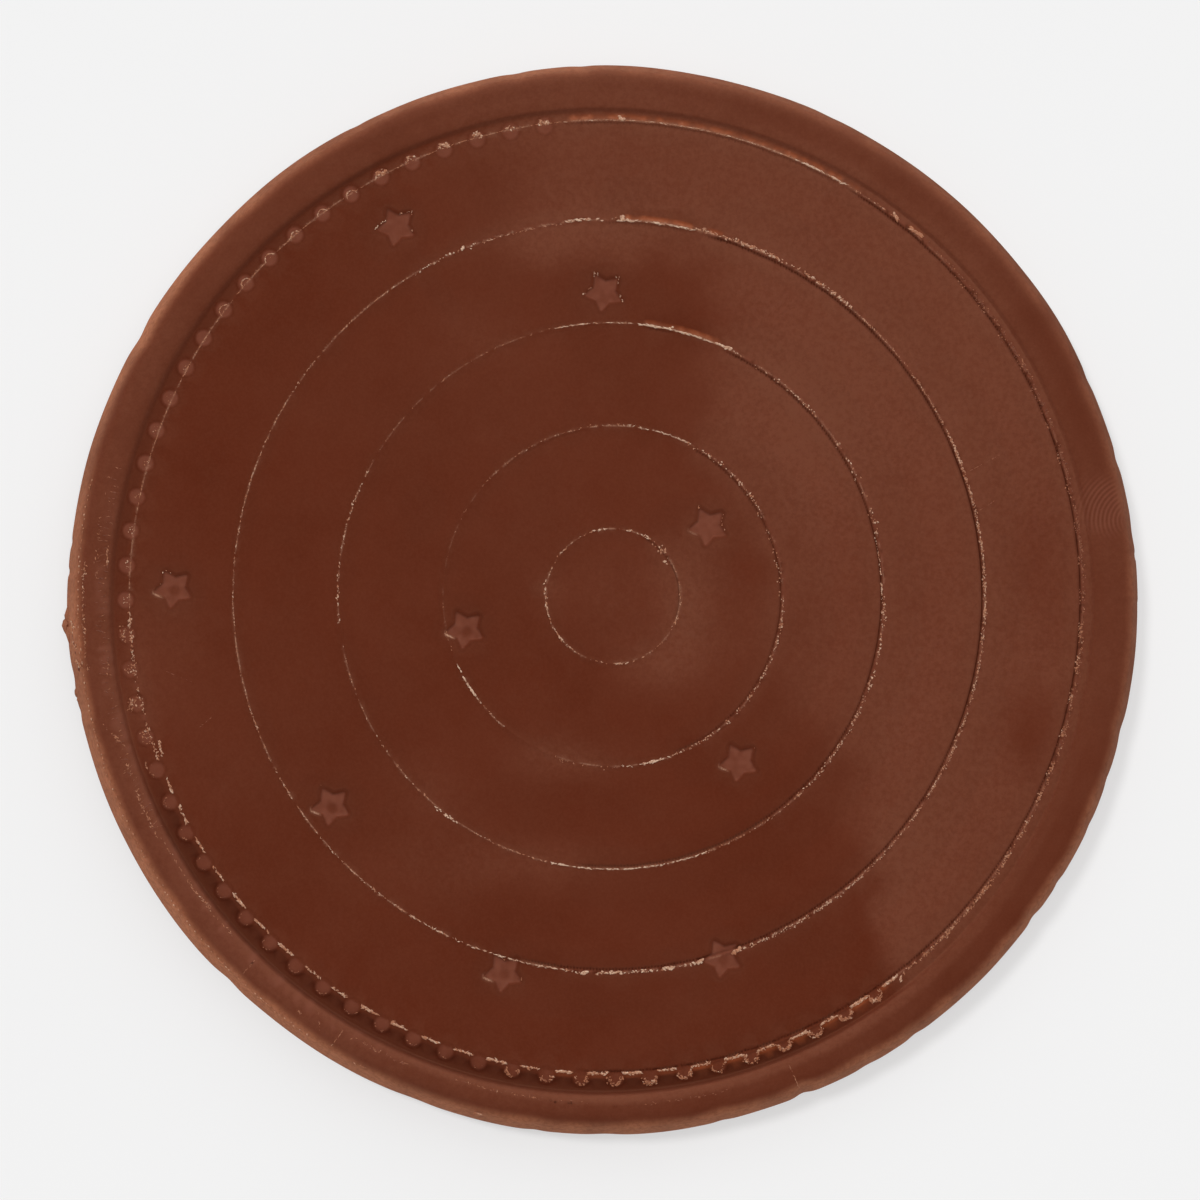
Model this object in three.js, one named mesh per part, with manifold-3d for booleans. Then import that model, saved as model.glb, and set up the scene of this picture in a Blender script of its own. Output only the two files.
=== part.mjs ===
// A large moulded chocolate coin, unwrapped, lying on its underside.
// Millimetres, +Z up. The rim of the underside rests on z = 0.
import * as THREE from 'three';
import { mergeVertices } from 'three/addons/utils/BufferGeometryUtils.js';
import Module from 'manifold-3d';

// Overall size
const COIN_RADIUS = 50;
const COIN_HEIGHT = 6.4;
const TOP_FIELD = 5.85;
const UNDER_FIELD = 0.4;

// Raised rings stamped on both faces: an even step, then a slightly closer last ring
const RING_COUNT = 5;
const FIRST_RING = 6.23;
const RING_STEP = 9.53;
const LAST_RING = 44.15;
const RING_HALF_WIDTH = 0.15;
const RING_HEIGHT = 0.13;

// The stamp sits off the rim's centre, more so towards the middle of the coin
const RING_CENTRES = [[0.46, 0.19], [0.49, 0.2], [0.35, 0.22], [0.23, 0.25], [0.04, 0.2]];
const RIM_CENTRE = [-0.21, -0.13];

// Round beads sunk into the top along its last ring. Only those on the left came out whole.
const BEAD_COUNT = 87;
const BEAD_CIRCLE = 44.25;
const BEAD_RADIUS = 0.83;
const BEAD_FLOOR_RADIUS = 0.7;
const BEAD_DEPTH = 0.12;
const BEAD_SIDES = 7;
const BEAD_START = 2.2;
const FIRST_WHOLE_BEAD = 96;
const LAST_WHOLE_BEAD = 306;

// Five-pointed stars sunk into the top face
const STAR_RADIUS = 1.8;
const STAR_WAIST = 0.98;
const STAR_TURN = 41;
const STAR_DEPTH = 0.2;
const STAR_CENTRES = [
  [-19.57, 34.34], [-0.44, 28.34], [9.39, 6.58], [-13.38, -3.11], [-40.16, 0.83],
  [12.12, -15.23], [-25.58, -19.15], [-9.72, -34.57], [10.81, -33.44],
];
const DIMPLED_STARS = [3, 4, 6];
const DIMPLE_RADIUS = 0.34;

// Burrs of chocolate squeezed out at the edge: direction in degrees, half sizes, height of the middle
const BURRS = [
  { turn: 182.6, size: [0.8, 1.25, 0.75], reach: 49.85, z: 2.4 },
  { turn: 190.6, size: [0.45, 0.6, 0.5], reach: 49.8, z: 2.2 },
];

// The edge isn't quite round: waves per turn, height of the wave, direction of its crest in degrees
const EDGE_WAVES = [
  [2, 0.039, -12.5], [3, 0.048, -40.7], [5, 0.034, -23.8],
  [8, 0.03, -2.1], [12, 0.032, 3.1], [19, 0.028, -6.7],
];

const COARSE_SEGMENTS = 58;
const FINE_SEGMENTS = 116;
const COARSE_LIMIT = 27;
const CLEARANCE = 0.3;
const MERGE_TOLERANCE = 0.004;

const MILK_CHOCOLATE = 0x5f3122;

const wasm = await Module();
wasm.setup();

const radians = THREE.MathUtils.degToRad;

function edgeWave(angle) {
  return EDGE_WAVES.reduce((sum, [waves, height, crest]) => (
    sum + height * Math.cos(waves * (angle - radians(crest)))
  ), 0);
}

// One circle of the coin's surface; wave says how much of the edge's unevenness it takes
function circle(radius, [x, y], z, wave = 0) {
  return { radius, x, y, z, wave };
}

function ringRadius(index) {
  return index === RING_COUNT - 1 ? LAST_RING : FIRST_RING + index * RING_STEP;
}

// Inner foot, crest and outer foot of every raised ring; up is 1 on the top face and -1 underneath
function ringCircles(field, up) {
  const circles = [];
  for (let index = 0; index < RING_COUNT; index += 1) {
    const radius = ringRadius(index);
    const centre = RING_CENTRES[index];
    circles.push(circle(radius - RING_HALF_WIDTH, centre, field));
    circles.push(circle(radius, centre, field + up * RING_HEIGHT));
    circles.push(circle(radius + RING_HALF_WIDTH, centre, field));
  }
  return circles;
}

// The rim from the groove beside the top's beads, over the edge, to the groove of the underside
function rimCircles() {
  const middle = [0, 0];
  return [
    circle(45.6, RIM_CENTRE, TOP_FIELD - 0.08),
    circle(46.33, RIM_CENTRE, COIN_HEIGHT - 0.17),
    circle(47.25, RIM_CENTRE, COIN_HEIGHT),
    circle(48.17, RIM_CENTRE, COIN_HEIGHT - 0.12, 0.4),
    circle(48.82, middle, COIN_HEIGHT - 0.75, 0.7),
    circle(49.55, middle, 3.9, 1),
    circle(COIN_RADIUS, middle, 1.8, 1),
    circle(49.75, middle, 0.75, 1),
    circle(48.95, middle, 0.14, 0.7),
    circle(48.4, middle, 0),
    circle(46.5, RIM_CENTRE, 0),
    circle(45.6, RIM_CENTRE, UNDER_FIELD + 0.08),
  ];
}

function segmentsOf(row) {
  return row.radius < COARSE_LIMIT ? COARSE_SEGMENTS : FINE_SEGMENTS;
}

// The surface as loops of points from the middle of the top to the middle of the underside
class Skin {
  constructor() {
    this.points = [];
    this.triangles = [];
  }

  addPoint(x, y, z) {
    this.points.push(x, y, z);
    return this.points.length / 3 - 1;
  }

  addLoop(row) {
    const loop = [];
    const count = segmentsOf(row);
    for (let i = 0; i < count; i += 1) {
      const angle = (2 * Math.PI * i) / count;
      const radius = row.radius + row.wave * edgeWave(angle);
      loop.push(this.addPoint(row.x + radius * Math.cos(angle), row.y + radius * Math.sin(angle), row.z));
    }
    return loop;
  }

  // Joins two loops; one may have twice the points of the other
  bridge(inner, outer) {
    const steps = Math.min(inner.length, outer.length);
    const innerStride = inner.length / steps;
    const outerStride = outer.length / steps;
    for (let i = 0; i < steps; i += 1) {
      const near = inner[i * innerStride];
      const nearNext = inner[((i + 1) * innerStride) % inner.length];
      const far = outer[i * outerStride];
      const farNext = outer[((i + 1) * outerStride) % outer.length];
      if (outerStride === 2) {
        const farMiddle = outer[i * 2 + 1];
        this.triangles.push(near, far, farMiddle, near, farMiddle, nearNext, nearNext, farMiddle, farNext);
      } else if (innerStride === 2) {
        const nearMiddle = inner[i * 2 + 1];
        this.triangles.push(near, far, nearMiddle, nearMiddle, far, farNext, nearMiddle, farNext, nearNext);
      } else {
        this.triangles.push(near, far, farNext, near, farNext, nearNext);
      }
    }
  }

  fan(centre, loop, facesUp) {
    for (let i = 0; i < loop.length; i += 1) {
      const next = loop[(i + 1) % loop.length];
      this.triangles.push(centre, facesUp ? loop[i] : next, facesUp ? next : loop[i]);
    }
  }
}

function coinBody() {
  const rows = [
    ...ringCircles(TOP_FIELD, 1),
    ...rimCircles(),
    ...ringCircles(UNDER_FIELD, -1).reverse(),
  ];
  const skin = new Skin();
  const topMiddle = skin.addPoint(...RING_CENTRES[0], TOP_FIELD);
  const loops = rows.map((row) => skin.addLoop(row));
  const underMiddle = skin.addPoint(...RING_CENTRES[0], UNDER_FIELD);
  skin.fan(topMiddle, loops[0], true);
  for (let i = 0; i + 1 < loops.length; i += 1) {
    skin.bridge(loops[i], loops[i + 1]);
  }
  skin.fan(underMiddle, loops.at(-1), false);
  return solidFrom(new Float32Array(skin.points), new Uint32Array(skin.triangles));
}

function solidFrom(vertProperties, triVerts) {
  return new wasm.Manifold(new wasm.Mesh({ numProp: 3, vertProperties, triVerts }));
}

// Turns a closed three.js geometry into a solid for joining and cutting
function solidOf(geometry) {
  const plain = geometry.clone();
  plain.deleteAttribute('normal');
  plain.deleteAttribute('uv');
  const merged = mergeVertices(plain, 1e-4);
  return solidFrom(new Float32Array(merged.attributes.position.array), new Uint32Array(merged.index.array));
}

// Cuts a shallow round bead with a flat floor and sloping sides into the top face
function beadCutter(x, y) {
  const depth = BEAD_DEPTH + CLEARANCE;
  const slope = (BEAD_RADIUS - BEAD_FLOOR_RADIUS) / BEAD_DEPTH;
  const geometry = new THREE.CylinderGeometry(
    BEAD_FLOOR_RADIUS + slope * depth, BEAD_FLOOR_RADIUS, depth, BEAD_SIDES,
  );
  geometry.rotateX(Math.PI / 2);
  geometry.translate(x, y, TOP_FIELD - BEAD_DEPTH + depth / 2);
  return geometry;
}

function beadCutters() {
  const pieces = [];
  for (let index = 0; index < BEAD_COUNT; index += 1) {
    const turn = BEAD_START + (360 * index) / BEAD_COUNT;
    if (turn > FIRST_WHOLE_BEAD && turn < LAST_WHOLE_BEAD) {
      const x = RIM_CENTRE[0] + BEAD_CIRCLE * Math.cos(radians(turn));
      const y = RIM_CENTRE[1] + BEAD_CIRCLE * Math.sin(radians(turn));
      pieces.push(solidOf(beadCutter(x, y)));
    }
  }
  return pieces;
}

function starShape() {
  const shape = new THREE.Shape();
  for (let corner = 0; corner < 10; corner += 1) {
    const radius = corner % 2 === 0 ? STAR_RADIUS : STAR_WAIST;
    const angle = radians(STAR_TURN + 36 * corner);
    const point = [radius * Math.cos(angle), radius * Math.sin(angle)];
    if (corner === 0) {
      shape.moveTo(...point);
    } else {
      shape.lineTo(...point);
    }
  }
  shape.closePath();
  return shape;
}

function starCutters() {
  const shape = starShape();
  return STAR_CENTRES.map(([x, y]) => {
    const geometry = new THREE.ExtrudeGeometry(shape, { depth: STAR_DEPTH + CLEARANCE, bevelEnabled: false });
    geometry.translate(x, y, TOP_FIELD - STAR_DEPTH);
    return solidOf(geometry);
  });
}

function dimpleCutters() {
  return DIMPLED_STARS.map((index) => {
    const [x, y] = STAR_CENTRES[index];
    const geometry = new THREE.SphereGeometry(DIMPLE_RADIUS, 8, 6);
    geometry.translate(x, y, TOP_FIELD - STAR_DEPTH);
    return solidOf(geometry);
  });
}

function burrs() {
  return BURRS.map(({ turn, size, reach, z }) => {
    const geometry = new THREE.IcosahedronGeometry(1, 1);
    geometry.scale(...size);
    geometry.translate(reach, 0, z);
    geometry.rotateZ(radians(turn));
    return solidOf(geometry);
  });
}

function toGeometry(solid) {
  const mesh = solid.getMesh();
  const geometry = new THREE.BufferGeometry();
  geometry.setAttribute('position', new THREE.BufferAttribute(new Float32Array(mesh.vertProperties), 3));
  geometry.setIndex(new THREE.BufferAttribute(new Uint32Array(mesh.triVerts), 1));
  geometry.computeVertexNormals();
  return geometry;
}

// The origin lies under the middle of the coin's box
function centreOnOrigin(geometry) {
  geometry.computeBoundingBox();
  const middle = geometry.boundingBox.getCenter(new THREE.Vector3());
  geometry.translate(-middle.x, -middle.y, -geometry.boundingBox.min.z);
  return geometry;
}

function makeCoin() {
  const whole = wasm.Manifold.union([coinBody(), ...burrs()]);
  const relief = wasm.Manifold.union([...beadCutters(), ...starCutters(), ...dimpleCutters()]);
  const solid = whole.subtract(relief).simplify(MERGE_TOLERANCE);
  const material = new THREE.MeshStandardMaterial({
    color: MILK_CHOCOLATE, roughness: 0.45, metalness: 0,
  });
  const coin = new THREE.Mesh(centreOnOrigin(toGeometry(solid)), material);
  coin.name = 'chocolate_coin';
  return coin;
}

const part = new THREE.Group();
part.add(makeCoin());

export default part;
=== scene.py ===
import math

import bmesh
import bpy
import numpy as np
from mathutils import Matrix, Vector
from mathutils.geometry import delaunay_2d_cdt
from mathutils.kdtree import KDTree


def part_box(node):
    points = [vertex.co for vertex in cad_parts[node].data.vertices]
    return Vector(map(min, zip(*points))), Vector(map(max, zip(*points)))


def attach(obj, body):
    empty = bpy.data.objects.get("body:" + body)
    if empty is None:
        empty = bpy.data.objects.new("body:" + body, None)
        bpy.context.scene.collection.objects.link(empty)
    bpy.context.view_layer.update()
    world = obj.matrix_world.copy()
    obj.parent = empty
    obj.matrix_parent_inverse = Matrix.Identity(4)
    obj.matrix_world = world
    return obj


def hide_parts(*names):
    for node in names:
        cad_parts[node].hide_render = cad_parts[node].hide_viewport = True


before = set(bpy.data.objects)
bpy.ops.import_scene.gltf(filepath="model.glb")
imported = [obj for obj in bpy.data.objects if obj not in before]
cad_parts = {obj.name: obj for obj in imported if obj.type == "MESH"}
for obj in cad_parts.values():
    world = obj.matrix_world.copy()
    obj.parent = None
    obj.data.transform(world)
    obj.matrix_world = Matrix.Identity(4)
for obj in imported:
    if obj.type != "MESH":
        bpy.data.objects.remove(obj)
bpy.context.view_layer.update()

# Lengths below are in millimetres and directions in degrees, both from the coin's axis, which
# stands at AXIS; radii, reaches and directions on the rim are taken from its own centre
MM = 0.001
NODE = "chocolate_coin"
CAD_LOW, CAD_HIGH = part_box(NODE)
AXIS = (0.2836, -0.0332, 0)

# Height of the rim, how far the upper face lies below it and the under face above the table, and
# the reaches of the groove inside the rim, of the rim's middle and crest, and of the face's edge
RIM_TOP = (CAD_HIGH[2] - CAD_LOW[2]) / MM
FIELD_DROP = 0.55
UNDER_FIELD = 0.4
GROOVE = 45.15
RIM_MIDDLE = 47
RIM_CREST = 46.7
RIM_CENTRE = (-0.21, -0.13)
FIELD_EDGE = 44.1

# Stamped rings: radius and centre of each, and how far out the crack beside it lies
RINGS = [
    (6.23, 0.46, 0.19), (15.76, 0.49, 0.2), (25.29, 0.35, 0.22), (34.82, 0.23, 0.25), (44.15, 0.04, 0.2),
]
CRACK_OFFSETS = (-0.12, -0.24, -0.27, -0.27, -0.24)

# Marks along a ring: how high its fin and its crumbly ground stand, how deep the crack is and how
# far the face rises beyond it, how high a chip's brink stands and how deep its trough lies
FIN_HEIGHT = 0.02
WORN_HEIGHT = 0.05
CRACK_DEPTH = 0.07
CRACK_STEP = 0.05
BRINK_HEIGHT = 0.03
CHIP_DEPTH = 0.07

# Beads: how many make the full circle, and the directions that the whole ones lie between
BEAD_COUNT = 87
BEAD_PITCH = 360 / BEAD_COUNT
BEAD_START = 2.2
BEAD_CIRCLE = 44.25
BEAD_RADIUS = 0.8
BEAD_FLOOR = -0.045
BEAD_SPAN = (96, 306)

# How far in and out a bead's points lie, and how many there are
BEAD_LOOPS = ((0.35, 7), (0.6, 13), (0.7, 16), (0.78, 18), (0.88, 20), (1.05, 16))

# How dull the floors of the whole beads are: directions and amounts
BEAD_HAZE = ((96, 121, 180, 186, 245, 268), (0.45, 0.62, 0.6, 0.42, 0.42, 0.14))

# How far out the broken edge beside the lower beads lies: directions and reaches
LIP = ((196, 203, 250, 276, 293, 303), (43, 43.69, 43.72, 43.78, 44.1, 44))

# A star's size, the direction of one arm and the angle between two, its sunk floor and the dip
# round it, how blunt its arms are, the round dimple in some, and the outlines that its points lie on
STAR_RADIUS = 2.04
STAR_WAIST = 1.17
STAR_TURN = 45
STAR_ARM = 72
STAR_HALF_ARM = math.radians(STAR_ARM / 2)
STAR_FLOOR = -0.2
STAR_HALO = -0.03
STAR_ROUNDING = 0.2
STAR_BLEND = 0.12
DIMPLE_DEPTH = 0.04
DIMPLE_RADIUS = 0.52
DIMPLE_SHIFT = (0.12, -0.22)
STAR_SCALES = (0.04, 0.1, 0.18, 0.28, 0.4, 0.52, 0.66, 0.76, 0.83, 0.89, 0.94, 0.99, 1.04, 1.1, 1.18, 1.35)

# Stars: centre, depth of the round dimple, and how bright the painted glint on the brink below the left arm
# is
STARS = [
    (-19.6, 34.36, 0, 0), (-0.38, 28.36, 0, 0), (9.3, 6.66, 0, 0.35), (-13.2, -2.9, 1, 1),
    (-40.08, 0.83, 0.9, 0.7), (12.14, -15.18, 0, 0.6), (-25.54, -19.18, 1, 0.8), (-9.66, -34.57, 0.7, 0.8),
    (10.6, -33.28, 0.7, 0),
]

# Crumbs on the edges of some stars: star, start and end, density, paleness
STAR_BITS = [
    (0, 36, 80, 2.5, 0.7), (0, 150, 190, 3.5, 0.85), (0, 340, 360, 2, 0.6), (1, 28, 60, 3.5, 0.8),
    (1, 105, 125, 5, 0.9), (1, 160, 195, 2.5, 0.6), (1, 325, 360, 2.5, 0.7), (2, 10, 40, 2, 0.55),
    (2, 85, 120, 1.5, 0.45), (2, 335, 365, 2.5, 0.6), (4, 100, 165, 1.2, 0.7), (7, 80, 110, 2.5, 0.6),
    (5, 30, 50, 1.2, 0.35), (6, 100, 130, 1, 0.35), (7, 330, 350, 1.5, 0.5),
]

# The crumbs of a star: how many to a mm at a density of 1, and the size and scatter of each
STAR_CRUMBS_PER_MM = 2.4
STAR_CRUMB = {"length": 0.16, "width": 0.11, "scatter": 0.07}

# The edge isn't quite round: waves per turn, height, direction of the crest
EDGE_WAVES = [
    (2, 0.039, -12.5), (3, 0.048, -40.7), (5, 0.034, -23.8), (8, 0.03, -2.1), (12, 0.032, 3.1),
    (19, 0.028, -6.7),
]

# Dents that the wrapper's pleats left in the edge: direction, depth, half width in degrees
EDGE_DENTS = [
    (4.7, 0.1, 0.4), (7.2, 0.09, 1.4), (15.3, 0.12, 1), (24.6, 0.09, 1), (65, 0.05, 1.2), (92.6, 0.07, 0.9),
    (99.8, 0.08, 1), (117.8, 0.06, 0.8), (150.8, 0.17, 1.6), (174.1, 0.1, 0.5), (177.2, 0.14, 0.4),
    (188.4, 0.12, 1.2), (192.2, 0.1, 0.6), (225.2, 0.14, 1.4), (249, 0.08, 1.8), (262.3, 0.09, 0.9),
    (270, 0.1, 1.6), (282.6, 0.08, 0.8), (291.7, 0.24, 0.9), (299.2, 0.09, 1.1), (305.4, 0.12, 0.9),
    (323.4, 0.17, 0.9), (328, 0.1, 0.7), (335, 0.07, 0.8), (340.3, 0.08, 0.9), (345.7, 0.14, 1.3),
]

# How each ring looks along its way round, as arcs of start, end and strength.
# crack: a crevice inside the ring, darkened with painted shade, with the face beyond it a little higher
# chip: the ring's edge has broken off and left a paler ledge outside it, with fresh orange chocolate and a
# painted glow of light through it in its trough
# worn: soft crumbly ground that the loose crumbs lie on
# line: a thin pale fin, broken in places
RING_RELIEF = [
    {
        "crack": [(338, 62, 0.5)], "worn": [(30, 56, 0.6), (166, 180, 0.5)],
        "line": [(0, 360, 0.34), (80, 108, 0.5), (180, 232, 0.5)],
    },
    {
        "crack": [(290, 62, 0.7), (100, 132, 0.2)], "worn": [(300, 62, 0.5)],
        "line": [
            (60, 100, 0.5), (202, 232, 0.6), (250, 292, 0.4), (290, 60, 0.25), (100, 138, 0.32),
            (138, 202, 0.12),
        ],
    },
    {
        "crack": [(262, 66, 0.9), (76, 84, 0.6)], "worn": [(305, 66, 0.5)], "chip": [(67, 83, 0.7)],
        "line": [
            (84, 101, 0.5), (101, 150, 0.2), (150, 186, 0.32), (190, 257, 0.32), (257, 300, 0.55),
            (300, 84, 0.3),
        ],
    },
    {
        "crack": [(255, 76, 1), (76, 92, 0.4)], "worn": [(262, 76, 0.7), (90, 122, 0.3)],
        "chip": [(72.5, 75.3, 0.6), (77.3, 88, 1)],
        "line": [(90, 180, 0.4), (180, 262, 0.5), (262, 90, 0.3)],
    },
    {
        "crack": [(266, 60, 1), (60, 96, 0.5)], "worn": [(182, 198, 0.6), (306, 58, 0.7)],
        "chip": [(48.5, 51, 0.5), (58, 60, 0.4), (60.5, 95, 0.8)],
        "line": [(60, 96, 0.3), (96, 182, 0.45), (0, 60, 0.2), (305, 360, 0.2)],
    },
]
UNDER_RELIEF = {
    "crack": [(0, 360, 0.3), (200, 330, 0.5)], "worn": [(20, 140, 0.5), (200, 290, 0.4)],
    "line": [(0, 360, 0.22), (40, 130, 0.5), (210, 300, 0.5)],
}

# The part of the face with a painted sheen, a lighter colour standing in for the reflection of the studio's
# panel, and a little rougher than the rest: corners of its outline, and how soft it is there
PAINTED_SHEEN_OUTLINE = [
    (-14, 48, 8), (-9, 40, 8), (-8, 36, 6), (-7, 32.5, 3), (-3, 31.5, 2), (0, 32, 2), (6, 32, 2),
    (10, 30.5, 2.4), (11.5, 27, 2.2), (10.5, 24, 2), (9.5, 20, 2), (9, 17, 2.6), (10, 14, 3), (13, 11, 3),
    (15, 8, 3), (16, 0, 4), (16, -6, 5), (18, -10, 5), (21, -13, 5), (23, -18, 4), (24.5, -25, 2),
    (24.8, -30, 0.6), (26.6, -36, 0.6), (31, -48, 1), (60, -60, 3), (60, 60, 6), (-14, 60, 8),
]

# Softer patches of the painted sheen: middle, half width and height in mm, how much lighter or darker than
# round it
PAINTED_SHEEN_PATCHES = [
    (7.2, -0.5, 2.8, 5.8, 0.75), (4.2, -6.2, 3.6, 2.4, 0.5), (0.5, 0.5, 5, 5, 0.28), (12, -3, 3.5, 6, 0.25),
    (19, 18, 7, 9, 0.1), (-5.5, 0.8, 1.8, 1.8, 0.25), (-4, -14.8, 5, 2, 0.5), (-7, -24.4, 7.5, 2.6, 0.42),
    (-16, -18, 4, 3.4, 0.28), (-19, -25, 7, 4, 0.18), (-41, -4.5, 4, 7, 0.32), (-36, 14, 5, 10, -0.14),
    (-29, 29, 7, 7, -0.1), (-6, 33, 8, 2, 0.25), (22, -1, 8, 8, -0.12), (2, 40, 8, 3, -0.16),
    (18, 16, 5, 7, 0.16), (28, -24, 4, 9, 0.16), (40.5, 3, 3.4, 6.5, -0.3), (39.2, -12.6, 2.6, 4.2, -0.55),
    (26, 5, 4, 6, -0.08), (-8, 18, 12, 14, 0.12), (-34, -14, 6, 7, 0.12), (10, 8, 2.6, 3.4, 0.18),
    (13, -20, 6, 5, -0.08), (-12, 24, 6, 3, 0.12), (34, 24, 6, 8, 0.06), (-43.6, -9.5, 1.6, 4.5, 0.3),
]

# Loose and broken bits along each ring: start and end, pieces per mm, length and width in mm,
# scatter across the ring, distance out from it, and paleness from 0 to 1
RING_BITS = [
    [
        (0, 31, 3.5, 0.25, 0.09, 0.06, 0, 0.5), (31, 57, 5, 0.3, 0.16, 0.3, 0, 0.6),
        (57, 80, 7, 0.4, 0.12, 0.07, 0.03, 0.8), (80, 92, 2, 0.2, 0.08, 0.05, 0.03, 0.4),
        (92, 108, 6, 0.4, 0.12, 0.06, 0, 0.8), (108, 165, 5, 0.25, 0.1, 0.06, 0, 0.6),
        (165, 182, 7, 0.3, 0.14, 0.2, 0.05, 0.6), (180, 232, 6, 0.4, 0.12, 0.06, 0, 0.62),
        (232, 268, 4, 0.15, 0.09, 0.07, 0, 0.55), (268, 298, 4, 0.35, 0.11, 0.07, 0.08, 0.6),
        (298, 328, 3, 0.15, 0.08, 0.06, 0.03, 0.45), (328, 360, 5, 0.28, 0.11, 0.09, 0.02, 0.62),
    ],
    [
        (0, 30, 5, 0.2, 0.12, 0.2, -0.25, 0.6), (30, 64, 7, 0.25, 0.15, 0.16, 0, 0.65),
        (63, 84, 11, 0.45, 0.1, 0.04, 0.02, 0.8), (84, 100, 6, 0.25, 0.09, 0.08, 0.05, 0.6),
        (100, 138, 4, 0.22, 0.08, 0.06, 0, 0.5), (138, 200, 1.5, 0.2, 0.07, 0.06, 0, 0.35),
        (203.5, 216, 14, 0.5, 0.13, 0.04, 0, 0.95), (216, 230, 6, 0.3, 0.1, 0.08, 0, 0.7),
        (250, 273, 4, 0.18, 0.08, 0.12, 0.12, 0.5), (273, 290, 8, 0.3, 0.12, 0.08, 0.02, 0.8),
        (290, 360, 8, 0.2, 0.12, 0.14, 0, 0.65),
    ],
    [
        (0, 14, 8, 0.25, 0.12, 0.05, -0.2, 0.7), (13, 19, 9, 0.25, 0.14, 0.2, 0.1, 0.65),
        (19, 63, 4, 0.25, 0.15, 0.2, -0.05, 0.7), (62, 68, 9, 0.4, 0.2, 0.06, 0.05, 0.85),
        (67, 84, 12, 0.5, 0.12, 0.04, -0.02, 0.9), (84, 102, 9, 0.35, 0.08, 0.03, 0, 0.7),
        (102, 152, 2, 0.22, 0.07, 0.05, 0, 0.4), (152, 186, 7, 0.24, 0.1, 0.08, 0.03, 0.67),
        (190, 230, 3, 0.25, 0.1, 0.07, 0, 0.55), (230, 236, 12, 0.25, 0.12, 0.08, 0.12, 0.9),
        (236, 257, 5, 0.25, 0.09, 0.05, 0, 0.6), (257, 290, 12, 0.4, 0.11, 0.04, 0, 0.9),
        (290, 312, 5, 0.2, 0.12, 0.1, 0, 0.6), (312, 360, 10, 0.22, 0.13, 0.15, 0.02, 0.66),
    ],
    [
        (0, 26, 20, 0.2, 0.11, 0.11, 0, 0.62), (26, 50, 12, 0.2, 0.09, 0.08, 0, 0.5),
        (50, 77, 14, 0.28, 0.15, 0.15, 0.1, 0.65), (77, 89, 10, 0.5, 0.11, 0.04, -0.04, 0.85),
        (88, 97, 6, 0.4, 0.13, 0.1, 0.05, 0.75), (97, 110, 4, 0.35, 0.07, 0.05, -0.1, 0.55),
        (111, 122, 4, 0.23, 0.14, 0.1, -0.05, 0.75), (122, 228, 6, 0.28, 0.08, 0.05, 0.02, 0.58),
        (228, 252, 8, 0.35, 0.08, 0.07, 0, 0.7), (252, 263, 9, 0.45, 0.1, 0.05, 0, 0.85),
        (263, 284, 10, 0.3, 0.16, 0.12, 0.05, 0.75), (289, 312, 18, 0.2, 0.12, 0.15, 0.07, 0.72),
        (312, 345, 15, 0.2, 0.11, 0.13, 0.03, 0.6), (345, 360, 16, 0.26, 0.1, 0.13, 0.03, 0.62),
    ],
    [
        (0, 48, 9, 0.19, 0.13, 0.16, 0.1, 0.2), (52, 60, 4, 0.3, 0.12, 0.08, 0.05, 0.5),
        (60, 67, 11, 0.5, 0.11, 0.04, 0, 0.8), (67, 96, 6, 0.4, 0.07, 0.03, -0.02, 0.62),
        (95, 182, 5, 0.3, 0.08, 0.035, 0, 0.43), (182, 200, 12, 0.28, 0.12, 0.12, 0, 0.62),
        (305.2, 307.3, 20, 0.4, 0.16, 0.06, 0.05, 0.62), (308, 330, 9, 0.25, 0.13, 0.14, 0.15, 0.48),
        (330, 360, 7, 0.2, 0.12, 0.14, 0.15, 0.32),
    ],
]

# Single larger flakes: ring, direction, distance out, length, width, turn from the ring, paleness
FLAKES = [
    (0, 33, -0.46, 0.5, 0.4, 40, 0.8), (0, 196, 0, 0.5, 0.2, 10, 0.8), (0, 219, 0, 0.6, 0.2, 10, 0.8),
    (0, 276, 0.13, 0.5, 0.15, 10, 0.7), (1, 41, 0.12, 0.4, 0.22, -40, 0.8), (1, 284, 0, 1, 0.25, 0, 0.95),
    (2, 65, 0.08, 0.9, 0.3, 15, 0.85), (2, 34, 0.1, 0.4, 0.25, 20, 0.75), (2, 77.5, 0.08, 0.5, 0.3, 30, 1),
    (3, 88, 0.12, 0.8, 0.5, -35, 0.9), (3, 93.5, 0.1, 0.8, 0.25, -10, 0.75), (3, 113, 0.1, 0.6, 0.3, 10, 1),
    (3, 115.5, 0.1, 0.5, 0.25, -20, 1), (3, 265.8, 0.1, 1.1, 0.35, 0, 0.85),
    (3, 271, 0, 0.7, 0.25, 15, 0.8), (3, 279, 0.05, 1, 0.3, -5, 0.85), (3, 283.7, 0.02, 0.8, 0.35, 20, 0.8),
    (3, 289.6, 0.08, 1, 0.5, 15, 0.62), (4, 49.8, 0.25, 1.5, 0.35, 8, 0.6),
    (4, 52.8, 0.15, 0.9, 0.3, -30, 0.65), (4, 88.5, 0.2, 0.8, 0.45, -20, 0.8),
    (4, 307.5, 0.4, 0.8, 0.3, 50, 0.8),
]

# Directions of the worn beads on the right, and how many crumbs lie on each and how pale they
# are, at the lower right and at the upper right
WORN_BEADS = [312.4, 316.2, 319.3, 322.6, *np.arange(327.3, 358.0, 4.14), *np.arange(0.6, 43.0, 4.13)]
LOWER_HEAP = (26, 0.45)
UPPER_HEAP = (9, 0.22)

# Pale specks along the edge of the scuffed wall: directions they lie between, and their reach
SPECK_SPAN = (167, 236)
SPECK_REACH = 48.62

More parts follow.
